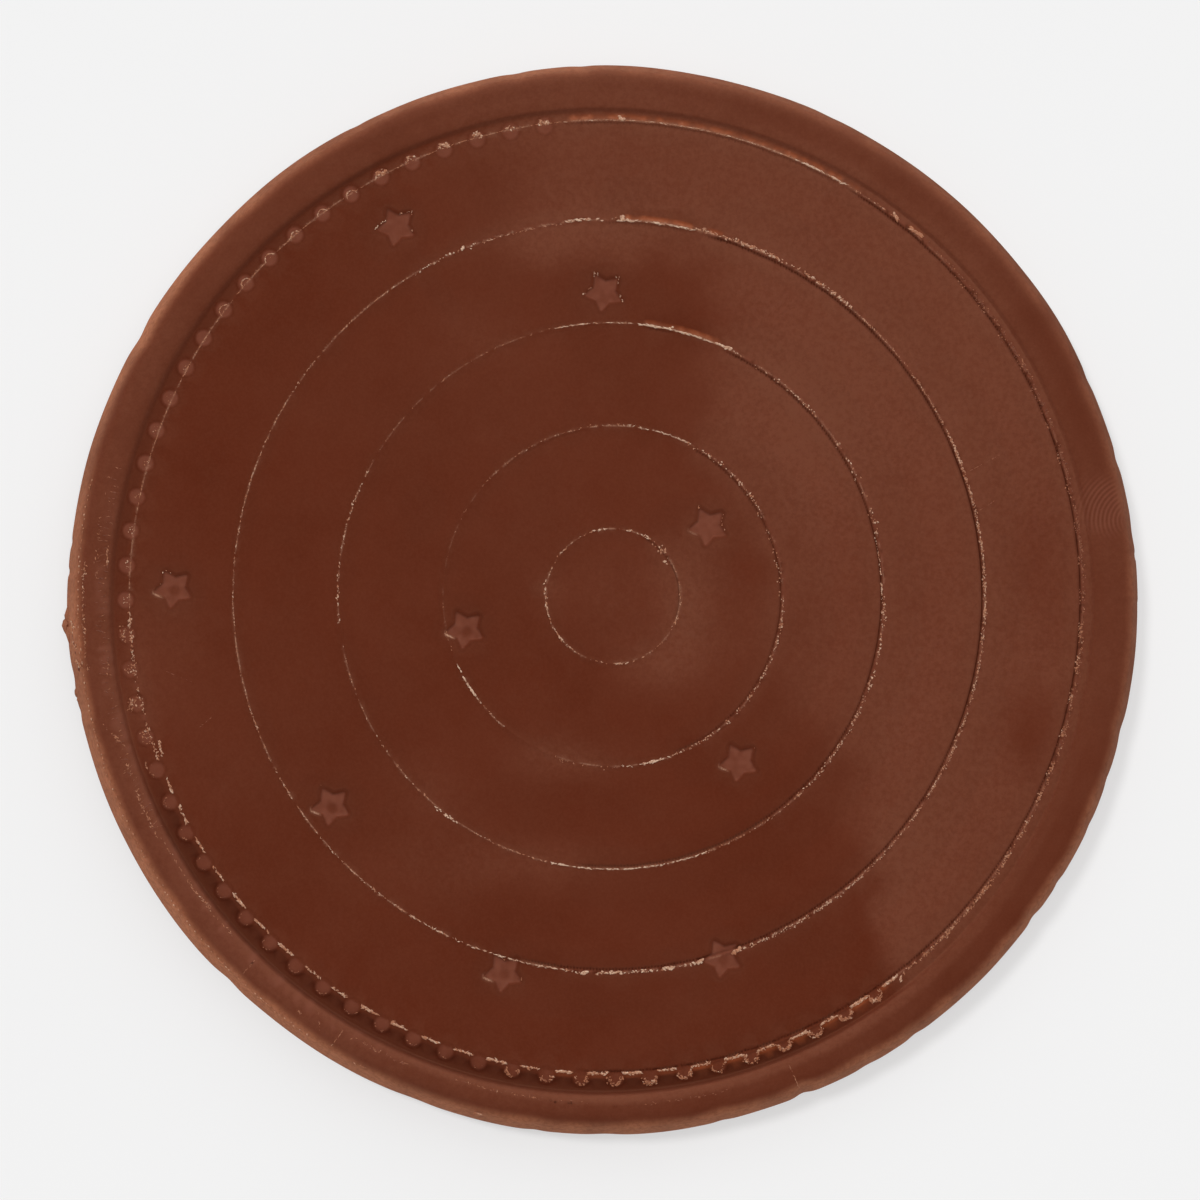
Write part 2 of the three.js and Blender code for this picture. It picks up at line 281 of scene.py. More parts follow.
# Faint wrinkles on the inner slope of the rim: first and last direction, and the step between them
WRINKLE_SPAN = (165, 207, 0.7)
WRINKLE_START = 45.95
WRINKLE_CRUMB = {"density": 8, "length": 0.3, "width": 0.07, "scatter": 0.02}

# Scratches and scuff lines on the rim and the face: start and end as direction and reach from the
# rim's centre, density, breadth, scatter and paleness
SCRATCHES = [
    (199, 46.6, 208, 46.7, 4, 0.13, 0.12, 0.75), (208, 46.4, 222, 46.2, 4, 0.1, 0.08, 0.75),
    (214, 46.5, 218, 46.1, 6, 0.1, 0.08, 0.8), (225.8, 46.4, 225.9, 48.2, 7, 0.07, 0.04, 0.7),
    (233.2, 47.2, 233.6, 47.4, 20, 0.08, 0.08, 0.8), (236.4, 47.6, 235.2, 46.3, 7, 0.06, 0.03, 0.65),
    (238.6, 46.5, 238.4, 48.2, 7, 0.07, 0.03, 0.75), (239, 46.5, 247, 46.6, 3, 0.09, 0.15, 0.6),
    (252, 46.3, 268, 46.5, 3, 0.08, 0.14, 0.55), (270, 46.6, 284, 46.7, 2, 0.08, 0.14, 0.45),
    (291.5, 46.3, 291.6, 49, 8, 0.08, 0.03, 0.8), (2.6, 49.2, 5.2, 49, 5, 0.08, 0.1, 0.7),
    (168, 47.2, 178, 46.9, 3, 0.12, 0.2, 0.5), (174, 46.1, 176.5, 46, 8, 0.14, 0.08, 0.7),
    (176, 48.1, 188, 48.1, 4, 0.14, 0.16, 0.9), (187, 46.2, 188.6, 46.4, 6, 0.12, 0.08, 0.65),
    (192, 44.6, 193.2, 45.3, 14, 0.09, 0.04, 0.9), (191.8, 44.2, 193.4, 44.9, 10, 0.09, 0.04, 0.8),
    (194, 47.6, 197, 46.3, 4, 0.14, 0.12, 0.7), (199.4, 44.9, 200.6, 45.2, 8, 0.14, 0.06, 0.7),
    (241.4, 48.6, 242.8, 48.5, 9, 0.12, 0.05, 0.85), (255.6, 48.9, 256.4, 48.9, 20, 0.16, 0.05, 0.95),
    (182.4, 49.4, 183.2, 49.1, 18, 0.16, 0.1, 1.1), (184.6, 49.3, 185.4, 48.9, 18, 0.16, 0.1, 1.1),
    (186.8, 49.1, 187.4, 48.7, 14, 0.14, 0.1, 1), (189.4, 41, 191.6, 38.6, 3, 0.05, 0.02, 0.4),
    (197.5, 39.2, 196.2, 37.2, 2.5, 0.05, 0.02, 0.35), (14.4, 37.6, 13.2, 35.3, 3, 0.05, 0.02, 0.45),
    (20.2, 39.2, 19.5, 36, 3, 0.05, 0.02, 0.45),
]

# The crumbs of a scratch: how many to a mm at a density of 1, how long they are, how wide at a
# breadth of 1, and their tone at a paleness of 1
SCRATCH_CRUMBS_PER_MM = 1.6
SCRATCH_CRUMB_LENGTH = 0.3
SCRATCH_CRUMB_WIDTH = 0.8
SCRATCH_CRUMB_TONE = 0.55

# Crumbly arches on the outer sides of the whole beads: the direction each kind ends at, its radius
# and half spread, the reach of its middle, bits per mm, length, width, scatter, paleness
ARCHES = [
    (102, 0.4, 80, 44.3, 17, 0.34, 0.2, 0.16, 0.62), (121, 0.4, 80, 44.3, 26, 0.34, 0.2, 0.16, 0.62),
    (146, 0.5, 80, 44.05, 15, 0.35, 0.1, 0.03, 0.58), (168, 0.3, 120, 44.1, 5, 0.14, 0.1, 0.16, 0.45),
    (181, 0.25, 120, 44.15, 7, 0.14, 0.11, 0.16, 0.75), (199, 0.5, 140, 44.2, 9, 0.24, 0.12, 0.3, 0.5),
    (258, 0.6, 75, 44.25, 6, 0.18, 0.09, 0.08, 0.3), (275, 0.6, 100, 44.25, 18, 0.28, 0.13, 0.16, 0.42),
    (306, 0.6, 100, 44.25, 25, 0.28, 0.13, 0.16, 0.48),
]

# Chocolate squeezed out at the edge: direction, reach, height, size along, out and up, paleness, which on
# the small lumps paints highlights on some and dark gaps on others
BURRS = [
    (181.8, 49.9, 2.5, 0.8, 0.5, 0.6, 0.3), (182.9, 50.15, 2.3, 0.9, 0.45, 0.5, 0.3),
    (183.8, 49.9, 2.6, 0.9, 0.5, 0.6, 0.3), (182.4, 49.6, 3.4, 0.8, 0.4, 0.5, 0.35),
    (184.6, 49.8, 2.1, 0.7, 0.35, 0.4, 0.3), (190.2, 49.85, 2.3, 0.6, 0.4, 0.4, 0.3),
    (190.9, 49.7, 2.7, 0.5, 0.35, 0.4, 0.35), (183.3, 49.5, 4, 0.6, 0.3, 0.4, 0.45),
    (183.7, 49.45, 4.35, 0.3, 0.12, 0.2, 0.85), (184, 49.5, 4.2, 0.25, 0.15, 0.2, 0),
    (185.2, 49.4, 4.4, 0.4, 0.22, 0.3, 0.5), (185.5, 49.25, 4.9, 0.3, 0.12, 0.2, 0.9),
    (185.9, 49.3, 4.75, 0.25, 0.16, 0.2, 0), (186.9, 49.3, 4.7, 0.35, 0.2, 0.3, 0.55),
    (187.3, 49.15, 5.15, 0.3, 0.12, 0.2, 0.9), (187.7, 49.2, 5, 0.22, 0.14, 0.2, 0),
    (186.1, 49.6, 3.8, 0.4, 0.2, 0.3, 0.45), (184.6, 49.2, 5, 0.3, 0.12, 0.2, 0.7),
]

# The rim by direction: how far the groove lies below the face, how far the crest lies below
# the coin's full height, how far the shoulder beside the groove lies below the crest, how far
# out the shoulder's foot lies, and how wide its slope is
RIM_SHAPE = [
    (0, 0.03, 0.26, 0.1, 0, 0.43), (45, 0.05, 0.27, 0.08, 0, 0.45), (90, 0.07, 0.27, 0.04, 0, 0.5),
    (120, 0.09, 0.22, 0.06, 0, 0.6), (150, 0.11, 0.14, 0.1, 0, 0.75), (180, 0.14, 0.08, 0.14, 0.05, 0.7),
    (210, 0.24, 0, 0.2, 0.35, 0.5), (240, 0.24, 0, 0.2, 0.35, 0.5), (270, 0.22, 0, 0.2, 0.22, 0.5),
    (300, 0.14, 0.08, 0.16, 0.1, 0.45), (330, 0.05, 0.22, 0.12, 0, 0.43),
]

# The rim's painted light by direction: how light the painted sheen is beside the groove and on its top,
# and how scuffed and tan its wall is, with painted light on the wall as well
RIM_TONES = [
    (0, 0.6, 0.65, 0.58), (15, 0.6, 0.42, 0.5), (30, 0.7, 0.2, 0.34), (45, 1.15, 0.85, 0.48),
    (60, 1.15, 0.5, 0.42), (75, 1, 0.75, 0.55), (90, 1, 0.95, 0.65), (105, 0.7, 0.75, 0.78),
    (120, 0.6, 0.5, 0.6), (135, 0.65, 0.55, 0.78), (150, 0.7, 0.85, 0.95), (165, 0.7, 0.8, 0.75),
    (180, 0.95, 0.75, 0.9), (195, 1.3, 0.9, 0.9), (210, 1.6, 1.1, 1.05), (225, 1.6, 1.2, 1.2),
    (240, 1.5, 1.1, 1.12), (255, 1.5, 0.7, 1.12), (270, 1.6, 0.5, 1.05), (285, 1.4, 0.35, 1.05),
    (300, 1.3, 0.35, 1), (315, 0.8, 0.3, 0.82), (330, 0.6, 0.2, 0.95), (345, 0.6, 0.4, 0.55),
]

# The rim in section outside its crest: reach and height below the crest
OUTER_SECTION = [
    (46.7, 0), (47.3, -0.02), (47.9, -0.09), (48.35, -0.25), (48.68, -0.48), (48.95, -0.82), (49.15, -1.3),
    (49.42, -2.15), (49.68, -3.1), (49.9, -4), (50, -4.6),
]
# From the widest circle down and inward to the underside: reach, height, share of the edge's waves
LOWER_SECTION = [
    (50, 1.35, 1), (49.9, 0.98, 1), (49.68, 0.6, 1), (49.38, 0.32, 0.9), (49, 0.14, 0.7), (48.6, 0.04, 0.4),
    (48.2, 0, 0.2), (47.4, 0, 0), (46.7, 0, 0), (46.3, 0.1, 0), (45.95, 0.3, 0), (45.7, 0.44, 0),
]

# How many points each loop of the rim has, and how far out its upper loops lie
RIM_SEGMENTS = 960
RIM_REACHES = (
    45.23, 45.31, 45.39, 45.47, 45.56, 45.66, 45.8, 46, 46.25, 46.5, 46.8, 47.15, 47.5, 47.85, 48.12, 48.34,
    48.52, 48.67, 48.8, 48.92, 49.05, 49.18, 49.32, 49.46, 49.6, 49.74, 49.87, 49.96,
)

# The values besides height that each point of the coin carries for its finish and for the light and shade
# painted into its colour
FINISHES = ("pale", "break_glow", "haze", "deep", "tan", "sheen", "dull")


def rise(low, high, value):
    """0 below low, 1 above high, and a smooth rise between them."""
    t = np.clip((value - low) / (high - low), 0, 1)
    return t * t * (3 - 2 * t)


def fall(low, high, value):
    """1 below low, 0 above high, and a smooth drop between them."""
    return 1 - rise(low, high, value)


def bell(distance, width):
    return np.exp(-((distance / width) ** 2))


def value_noise(x, y, size, seed):
    """Smooth random values from -1 to 1 that change over lengths of about size."""
    cells = 128
    grid = np.random.default_rng(seed).uniform(-1, 1, (cells, cells))
    u = np.asarray(x) / size + 0.37 * cells
    v = np.asarray(y) / size + 0.61 * cells
    column = np.floor(u).astype(int)
    row = np.floor(v).astype(int)
    across = rise(0, 1, u - column)
    down = rise(0, 1, v - row)
    near, far = (
        grid[line % cells, column % cells] * (1 - across) + grid[line % cells, (column + 1) % cells] * across
        for line in (row, row + 1)
    )
    return near * (1 - down) + far * down


def polar(x, y, centre):
    """Reaches and directions of points from a centre."""
    dx = x - centre[0]
    dy = y - centre[1]
    return np.hypot(dx, dy), np.degrees(np.arctan2(dy, dx)) % 360


def around(centre, turn, reach):
    """Points at directions and reaches from a centre."""
    angle = np.radians(turn)
    return np.column_stack((centre[0] + reach * np.cos(angle), centre[1] + reach * np.sin(angle)))


def full_turn(count):
    return np.linspace(0, 360, count, endpoint=False)


def shifted(place, heading, along, aside):
    """A place moved along a heading in radians and to the left of it."""
    x, y = place
    cos, sin = np.cos(heading), np.sin(heading)
    return x + along * cos - aside * sin, y + along * sin + aside * cos


def by_direction(table, angle):
    """The columns of a table whose rows start with a direction, read at each angle."""
    rows = np.array(table)
    return [np.interp(angle, rows[:, 0], column, period=360) for column in rows.T[1:]]


def arc_weight(arcs, angle, fade):
    """How strongly the arcs act at each angle, fading in and out at their ends."""
    weight = np.zeros_like(angle)
    for start, end, strength in arcs:
        span = (end - start) % 360 or 360
        into = (angle - start) % 360
        edge = np.clip(np.minimum(into, span - into) / min(fade, span / 3), 0, 1)
        weight = np.maximum(weight, strength * (edge if span < 360 else 1))
    return weight


def edge_shift(angle):
    """How far the outer edge lies outside its mean circle, by direction."""
    shift = np.zeros_like(angle)
    for waves, height, crest in EDGE_WAVES:
        shift += height * np.cos(waves * np.radians(angle - crest))
    for middle, depth, half_width in EDGE_DENTS:
        shift -= depth * bell((angle - middle + 180) % 360 - 180, half_width)
    return shift


def star_fold(turn):
    """Directions folded into half an arm of a star, in radians from the arm's middle."""
    return np.radians(np.abs((turn - STAR_TURN + STAR_ARM / 2) % STAR_ARM - STAR_ARM / 2))


def star_distance(reach, turn):
    """Distance outside a star's outline at reaches and directions from its middle; negative inside."""
    fold = star_fold(turn)
    side_x = STAR_WAIST * math.cos(STAR_HALF_ARM) - STAR_RADIUS
    side_y = STAR_WAIST * math.sin(STAR_HALF_ARM)
    out = side_y * (reach * np.cos(fold) - STAR_RADIUS) - side_x * reach * np.sin(fold)
    out = out / math.hypot(side_x, side_y)
    blunt = reach - (STAR_RADIUS - STAR_ROUNDING)
    return np.maximum(out, blunt) + 0.25 * STAR_BLEND * np.exp(-np.abs(out - blunt) / STAR_BLEND)


def star_path(centre, start, end, count=30, scale=1):
    """Part of a star's outline between two directions from its middle."""
    turn = np.linspace(start, end, count)
    off = star_fold(turn)
    side = STAR_RADIUS * np.sin(off) + STAR_WAIST * np.sin(STAR_HALF_ARM - off)
    return around(centre, turn, scale * STAR_RADIUS * STAR_WAIST * math.sin(STAR_HALF_ARM) / side)


def bead_row(turns, whole):
    """Centre, direction and wholeness of the beads at the given directions."""
    return [(*around(RIM_CENTRE, turn, BEAD_CIRCLE)[0], turn, whole) for turn in turns]


BEAD_TURNS = [BEAD_START + BEAD_PITCH * index for index in range(BEAD_COUNT)]
ROUND_BEADS = bead_row([turn for turn in BEAD_TURNS if BEAD_SPAN[0] < turn < BEAD_SPAN[1]], 1)
FAINT_BEADS = bead_row(WORN_BEADS, 0.15)
SEAM = around(RIM_CENTRE, full_turn(RIM_SEGMENTS), GROOVE)


def groove_shade(angle):
    """How much painted shade darkens the groove inside the rim, by direction."""
    return 0.45 * arc_weight([(198, 304, 1), (112, 182, 0.5)], angle, 10)


def painted_sheen_share(x, y):
    """How strongly points of the face carry the painted sheen that stands in for a reflection, with its
    softer patches.
    """
    nearest = np.full_like(x, 1e9)
    soft = np.ones_like(x)
    inside = np.zeros(x.shape, dtype=bool)
    for (ax, ay, a_soft), (bx, by, b_soft) in zip(PAINTED_SHEEN_OUTLINE, PAINTED_SHEEN_OUTLINE[1:] + PAINTED_SHEEN_OUTLINE[:1]):
        dx, dy = bx - ax, by - ay
        along = np.clip(((x - ax) * dx + (y - ay) * dy) / (dx * dx + dy * dy), 0, 1)
        away = np.hypot(x - ax - along * dx, y - ay - along * dy)
        soft = np.where(away < nearest, a_soft + (b_soft - a_soft) * along, soft)
        nearest = np.minimum(nearest, away)
        inside ^= ((ay > y) != (by > y)) & (x < ax + (y - ay) / (dy or 1) * dx)
    signed = np.where(inside, nearest, -nearest) + 1.3 * value_noise(x, y, 2.6, 71)
    soft = soft * 1.1 + 0.8
    share = 0.08 + 0.66 * rise(-soft, soft, signed)
    for px, py, wide, high, amount in PAINTED_SHEEN_PATCHES:
        share += amount * bell(x - px, wide) * bell(y - py, high)
    share += 0.05 * value_noise(x, y, 2.2, 72) + 0.04 * value_noise(x, y, 5.5, 73)
    return 0.5 * (share + np.sqrt(share * share + 0.003))


class Surface:
    """Height, finish and painted light and shade of one face of the coin at many points at once."""

    def __init__(self, x, y):
        self.x = np.asarray(x, dtype=float)
        self.y = np.asarray(y, dtype=float)
        for name in ("height", *FINISHES):
            setattr(self, name, np.zeros_like(self.x))
        self.from_rim, self.angle = polar(self.x, self.y, RIM_CENTRE)

    def noise(self, size, seed):
        return value_noise(self.x, self.y, size, seed)

    def raise_to(self, name, values):
        """Raises a finish to the given values where it lies below them."""
        setattr(self, name, np.maximum(getattr(self, name), values))

    def add_field(self):
        """The slightly uneven flat of the coin, which drops towards the groove inside the rim."""
        self.height += 0.022 * self.noise(17, 3) + 0.004 * self.noise(6, 4)
        drop = by_direction(RIM_SHAPE, self.angle)[0]
        self.height -= drop * rise(FIELD_EDGE, GROOVE - 0.05, self.from_rim)
        # Painted sheen: lighter colour standing in for the reflection of the panel
        self.sheen += painted_sheen_share(self.x, self.y)
        # Painted shade in the groove inside the rim
        self.deep += rise(FIELD_EDGE, FIELD_EDGE + 0.3, self.from_rim) * groove_shade(self.angle)

    def add_ring(self, ring, relief, inside, seed):
        """One ring: the crack inside it, its fin, the worn ground, and where its edge has chipped off."""
        radius, *centre = ring
        reach, angle = polar(self.x, self.y, centre)
        out = reach - radius + 0.025 * self.noise(1.3, seed)
        near = np.abs(out) < 4
        crack, worn, line, chip = (
            arc_weight(relief.get(kind, []), angle, fade) * near
            for kind, fade in (("crack", 3), ("worn", 3), ("line", 3), ("chip", 0.5))
        )
        self.height -= crack * 0.02 * rise(inside - 0.55, inside - 0.1, out) * (out < inside)
        beyond = rise(inside - 0.02, inside + 0.2, out) * np.exp(-np.clip(out, 0, 9) / 1.6)
        self.height += crack * (CRACK_STEP * beyond - CRACK_DEPTH * bell(out - inside, 0.09))
        # Painted shade down the crack
        self.deep += crack * 0.95 * bell(out - inside, 0.085)
        self.pale += line * rise(-0.45, 0.35, self.noise(0.55, seed + 2)) * 0.8 * bell(out, 0.06)
        bumps = 0.5 + 0.5 * self.noise(0.3, seed + 1)
        self.height += worn * WORN_HEIGHT * bumps * bell(out - 0.05, 0.25)
        self.haze += worn * 0.5 * bumps * bell(out - 0.05, 0.3)
        self.raise_to("dull", (worn > 0) * bell(out, 0.5))
        # Painted shade in the hollows between the worn ground's bumps
        self.deep += worn * 0.7 * fall(0.2, 0.45, bumps) * bell(out, 0.22)
        trough = rise(0.02, 0.16, out) * fall(0.42, 0.62, out)
        self.height += chip * (BRINK_HEIGHT * bell(out, 0.08) - CHIP_DEPTH * trough)
        ragged = 0.55 + 0.45 * self.noise(0.5, seed + 3)
        ledge = chip * chip * trough * fall(0.22, 0.44, out) * rise(0.3, 0.8, ragged)
        # Fresh orange chocolate in the chip's trough, with a painted glow of light shining through it
        self.break_glow = (self.break_glow + chip * trough * ragged) * (1 - 0.5 * ledge)
        # The ledge's paler tone: a fresh break with painted light on it
        self.tan += 0.7 * ledge
        self.pale += chip * (0.35 * bell(out, 0.05) + 0.2 * trough * rise(0.75, 0.95, ragged))
        self.height += FIN_HEIGHT * bell(out, 0.08) * near

    def add_rings(self, reliefs, seed):
        for index, relief in enumerate(reliefs):
            self.add_ring(RINGS[index], relief, CRACK_OFFSETS[index], seed + 5 * index)

    def add_beads(self, beads):
        patches = 0.12 * self.noise(0.5, 62)
        for x, y, turn, whole in beads:
            away = np.hypot(self.x - x, self.y - y)
            near = away < 1.8
            lip = np.interp(turn, *LIP)
            inside = whole * fall(BEAD_RADIUS - 0.26, BEAD_RADIUS + 0.08, away) * near
            inside = inside * rise(lip - 0.08, lip + 0.06, self.from_rim)
            self.height = self.height * (1 - inside) + BEAD_FLOOR * inside
            self.raise_to("haze", (np.interp(turn, *BEAD_HAZE) + patches) * inside)
            self.raise_to("dull", whole * fall(0.9, 1.3, away))
            # No painted shade on a bead's sunk floor, and a thin ring of painted shade round its edge
            self.deep *= 1 - 0.9 * inside
            self.deep += whole * 0.12 * bell(away - BEAD_RADIUS - 0.05, 0.14) * near

    def add_lip_glow(self):
        """Thin orange-brown chocolate outside the broken edge between the last whole beads, with a painted
        glow of light through it.
        """
        strength = arc_weight([(262, 284, 0.3), (278, 300, 0.7), (299.5, 306.5, 1)], self.angle, 1)
        between = 0.5 - 0.5 * np.cos(np.radians((self.angle - BEAD_START) / BEAD_PITCH * 360))
        past = self.from_rim - np.interp(self.angle, *LIP)
        # Painted glow of light through the thin chocolate between the beads
        self.break_glow += strength * between * rise(-0.02, 0.08, past) * fall(0.2, 0.62, past)
        pits = rise(0, 0.2, past) * fall(0.9, 1.3, past)
        # Painted shade in the pits between the lower beads
        self.deep += 0.3 * arc_weight([(200, 300, 1)], self.angle, 6) * between * pits * (1 - self.break_glow)

    def add_star(self, x, y, dimple, painted_glint):
        reach, turn = polar(self.x, self.y, (x, y))
        out = star_distance(reach, turn)
        near = reach < 3.4
        inside = fall(-0.22, 0.06, out) * near
        self.raise_to("dull", fall(0.1, 0.5, out) * near)
        self.height += STAR_FLOOR * inside
        self.height += STAR_HALO * fall(0, 0.8, out) * (1 - inside) * near
        self.raise_to("haze", (0.56 + 0.2 * self.noise(0.4, 61)) * fall(-0.16, 0, out) * near)
        # Painted shade: less on the star's sunk floor, more round its edge and most on its upper right side
        self.deep *= 1 - 0.6 * inside
        facing = np.clip(np.cos(np.radians(turn - 60)), 0, 1)
        self.deep += (0.12 + 0.2 * facing) * bell(out - 0.14, 0.2) * near
        # Painted glint: a pale line on the brink below the left arm
        self.pale += painted_glint * bell(turn - 204, 13) * bell(out - 0.08, 0.08) * near
        from_dimple = polar(self.x, self.y, (x + DIMPLE_SHIFT[0], y + DIMPLE_SHIFT[1]))[0]
        hollow = dimple * bell(from_dimple ** 2, DIMPLE_RADIUS ** 2)
        self.height -= DIMPLE_DEPTH * hollow
        self.haze *= 1 - 0.85 * hollow


def top_surface(x, y):
    surface = Surface(x, y)
    surface.add_field()
    surface.add_rings(RING_RELIEF, seed=11)
    surface.add_beads(ROUND_BEADS + FAINT_BEADS)
    surface.add_lip_glow()
    for star in STARS:
        surface.add_star(*star)
    surface.height += RIM_TOP - FIELD_DROP
    return surface


def under_surface(x, y):
    """The hidden face: the same rings and beads, upside down and more lightly marked."""
    surface = Surface(x, y)
    # An even painted sheen, broken by noise, like the one on the upper face
    surface.sheen += 0.3 + 0.2 * surface.noise(15, 75) + 0.08 * surface.noise(4, 76)
    surface.add_rings([UNDER_RELIEF] * len(RINGS), seed=51)
    surface.add_beads([(*bead[:2], 0, 0.8) for bead in ROUND_BEADS])
    surface.height = UNDER_FIELD - surface.height
    return surface


def rim_height(reach, angle):
    """Height of the rim's upper side at a reach from its centre, before unevenness."""
    groove, crest_drop, shoulder_drop, foot_out, slope = by_direction(RIM_SHAPE, angle)
    foot = -FIELD_DROP - groove
    past = reach - GROOVE - foot_out
    wall = np.clip(past / slope, 0, 1)
    brow = np.clip((past - slope) / (RIM_CREST - GROOVE - foot_out - slope), 0, 1)
    inner = foot + (-crest_drop - shoulder_drop - foot) * wall * wall * (2.6 - 1.6 * wall)
    inner += shoulder_drop * (1 - (1 - brow) ** 2)
    outer = np.interp(reach, *np.array(OUTER_SECTION).T) - crest_drop * fall(46.9, 49, reach)
    return RIM_TOP + np.where(reach < RIM_CREST, inner, outer)


def rim_unevenness(reach, angle):
    """Small swells and wrinkles of the rim, in millimetres of height."""
    arc = np.radians(angle) * RIM_MIDDLE
    swell = 0.03 * value_noise(arc, 2 * reach, 5.5, 81) + 0.006 * value_noise(arc, 2 * reach, 1.8, 82)
    wrinkled = arc_weight([(164, 206, 1), (206, 300, 0.35)], angle, 8)
    band = rise(45.6, 45.9, reach) * fall(46.6, 47.1, reach)
    return swell + wrinkled * band * 0.05 * value_noise(arc, 0.35 * reach, 0.5, 83)


def rim_tone(reach, angle, beside):
    """The finish of the rim: painted sheen inside and on top, saturated where it is weak, scuffed tan with
    painted light down its wall, and painted shade in the groove.
    """
    inner, top, tan = by_direction(RIM_TONES, angle)
    right = arc_weight([(240, 75, 1)], angle, 20)
    upper = arc_weight([(65, 160, 1)], angle, 14)
    scuffed = arc_weight([(165, 250, 1)], angle, 14)
    arc = np.radians(angle) * RIM_MIDDLE
    patch = 0.5 + 0.5 * value_noise(arc, reach, 1.6, 90)
    edge = 48.95 - 0.4 * right - 0.2 * upper - 0.45 * scuffed + 0.14 * value_noise(arc, 0 * reach, 2.5, 91)
    wall = rise(edge - 0.5, edge + 0.7, reach)
    away = rise(0.05, 0.5, reach - GROOVE - 1.1 * by_direction(RIM_SHAPE, angle)[3])
    ridges = np.clip(value_noise(arc, 0.35 * reach, 0.5, 83), 0, 1) * fall(46.7, 47.2, reach)
    past = rise(46.1, 46.9, reach)
    cloud = 0.16 * value_noise(arc, reach, 2.6, 92) + 0.1 * value_noise(arc, reach, 0.9, 93)
    light = np.clip(0.6 * (inner * (1 - past) + top * past + cloud), 0, 1)
    return {
        # Scuffed tan down the wall, with painted light on it that varies by direction
        "tan": wall * tan * (0.75 + 0.25 * patch),
        # Painted sheen: the face's beside the groove, the rim's painted light by direction further out
        "sheen": (beside * (1 - away) + light * away) * (1 - wall),
        "haze": scuffed * (0.12 * patch + 0.7 * ridges) * rise(45.5, 45.9, reach) * (1 - wall),
        "dull": 0.5 * away,
        # Painted shade in the groove
        "deep": (1 - away) * groove_shade(angle),
    }


def ring_points(ring, offsets, spacing, arcs=((0, 360, 1),)):
    """Points along circles at the given offsets from a ring, on the given arcs of it."""
    radius, *centre = ring
    busy = [(start, end, 1) for start, end, _ in arcs]
    rows = []
    for offset in offsets:
        turn = full_turn(int(2 * math.pi * (radius + offset) / spacing))
        rows.append(around(centre, turn, radius + offset)[arc_weight(busy, turn, 0.1) > 0.5])
    return np.vstack(rows)


def bead_points(detail):
    rows = []
    for x, y, *_ in ROUND_BEADS:
        rows.append(np.array([[x, y]]))
        rows += [around((x, y), full_turn(int(count * detail)), reach) for reach, count in BEAD_LOOPS]
    return np.vstack(rows)


def star_points():
    ends = (STAR_TURN, STAR_TURN + 360)
    return np.vstack([star_path(star[:2], *ends, 91, scale) for star in STARS for scale in STAR_SCALES])


def thin_out(points, gap):
    """Drops each point that lies nearer than gap to one kept before it."""
    kept = []
    cells = {}
    steps = (-1, 0, 1)
    for x, y in points:
        column, row = math.floor(x / gap), math.floor(y / gap)
        near = [other for i in steps for j in steps for other in cells.get((column + i, row + j), ())]
        if all((ox - x) ** 2 + (oy - y) ** 2 >= gap * gap for ox, oy in near):
            cells.setdefault((column, row), []).append((x, y))
            kept.append((x, y))
    return np.array(kept)


# The rows of an even triangular grid lie this share of its spacing apart
ROW_STEP = 0.866


def fill_points(kept, spacing):
    """The points, and a grid that fills the space they leave inside the groove."""
    tree = KDTree(len(kept))
    for index, (x, y) in enumerate(kept):
        tree.insert((x, y, 0), index)
    tree.balance()
    extra = []
    steps = int(GROOVE / spacing) + 1
    rows = int(steps / ROW_STEP)
    for row in range(-rows, rows + 1):
        for column in range(-steps, steps + 1):
            across = (column + 0.5 * (row % 2)) * spacing
            down = row * spacing * ROW_STEP
            place = (RIM_CENTRE[0] + across, RIM_CENTRE[1] + down, 0)
            clear = math.hypot(across, down) <= GROOVE - spacing * 0.5
            if clear and tree.find(place)[2] > spacing * 0.6:
                extra.append(place[:2])
    return np.vstack((kept, extra))


def face_plan(clouds, margin, gap, spacing):
    """Points and triangles of a face as far as the seam, and which of the points lie on the seam."""
    points = np.vstack(clouds)
    points = points[polar(*points.T, RIM_CENTRE)[0] < GROOVE - margin]
    every = np.vstack((SEAM, fill_points(thin_out(points, gap), spacing)))
    edges = [(i, (i + 1) % RIM_SEGMENTS) for i in range(RIM_SEGMENTS)]
    found, _, faces, origins, _, _ = delaunay_2d_cdt([Vector(p) for p in every], edges, [], 0, 1e-5)
    seam = [0] * RIM_SEGMENTS
    for index, sources in enumerate(origins):
        for source in sources:
            if source < RIM_SEGMENTS:
                seam[source] = index
    return np.array([tuple(v) for v in found]), faces, seam


def top_plan():
    clouds = [star_points(), bead_points(1)]
    for ring, relief, inside in zip(RINGS, RING_RELIEF, CRACK_OFFSETS):
        busy = relief.get("crack", []) + relief.get("worn", [])
        rows = (
            ((inside, inside - 0.1, inside + 0.1, inside + 0.2), 0.3, busy),
            ((0,), 0.2), ((-0.1, 0.1), 0.28), ((0.26,), 0.4), ((0.5, inside - 0.28), 0.55),
            ((0.06, 0.2, 0.42, 0.6), 0.25, relief.get("chip", [])),
        )
        clouds += [ring_points(ring, *row) for row in rows]
    return face_plan(clouds, margin=0.12, gap=0.07, spacing=1)


def under_plan():
    clouds = [bead_points(0.6)]
    for ring, inside in zip(RINGS, CRACK_OFFSETS):
        clouds.append(ring_points(ring, (inside, inside - 0.13, inside + 0.13, inside + 0.28), 0.26))
        clouds.append(ring_points(ring, (inside - 0.35, inside + 0.5), 0.7))
    return face_plan(clouds, margin=0.15, gap=0.12, spacing=2.4)


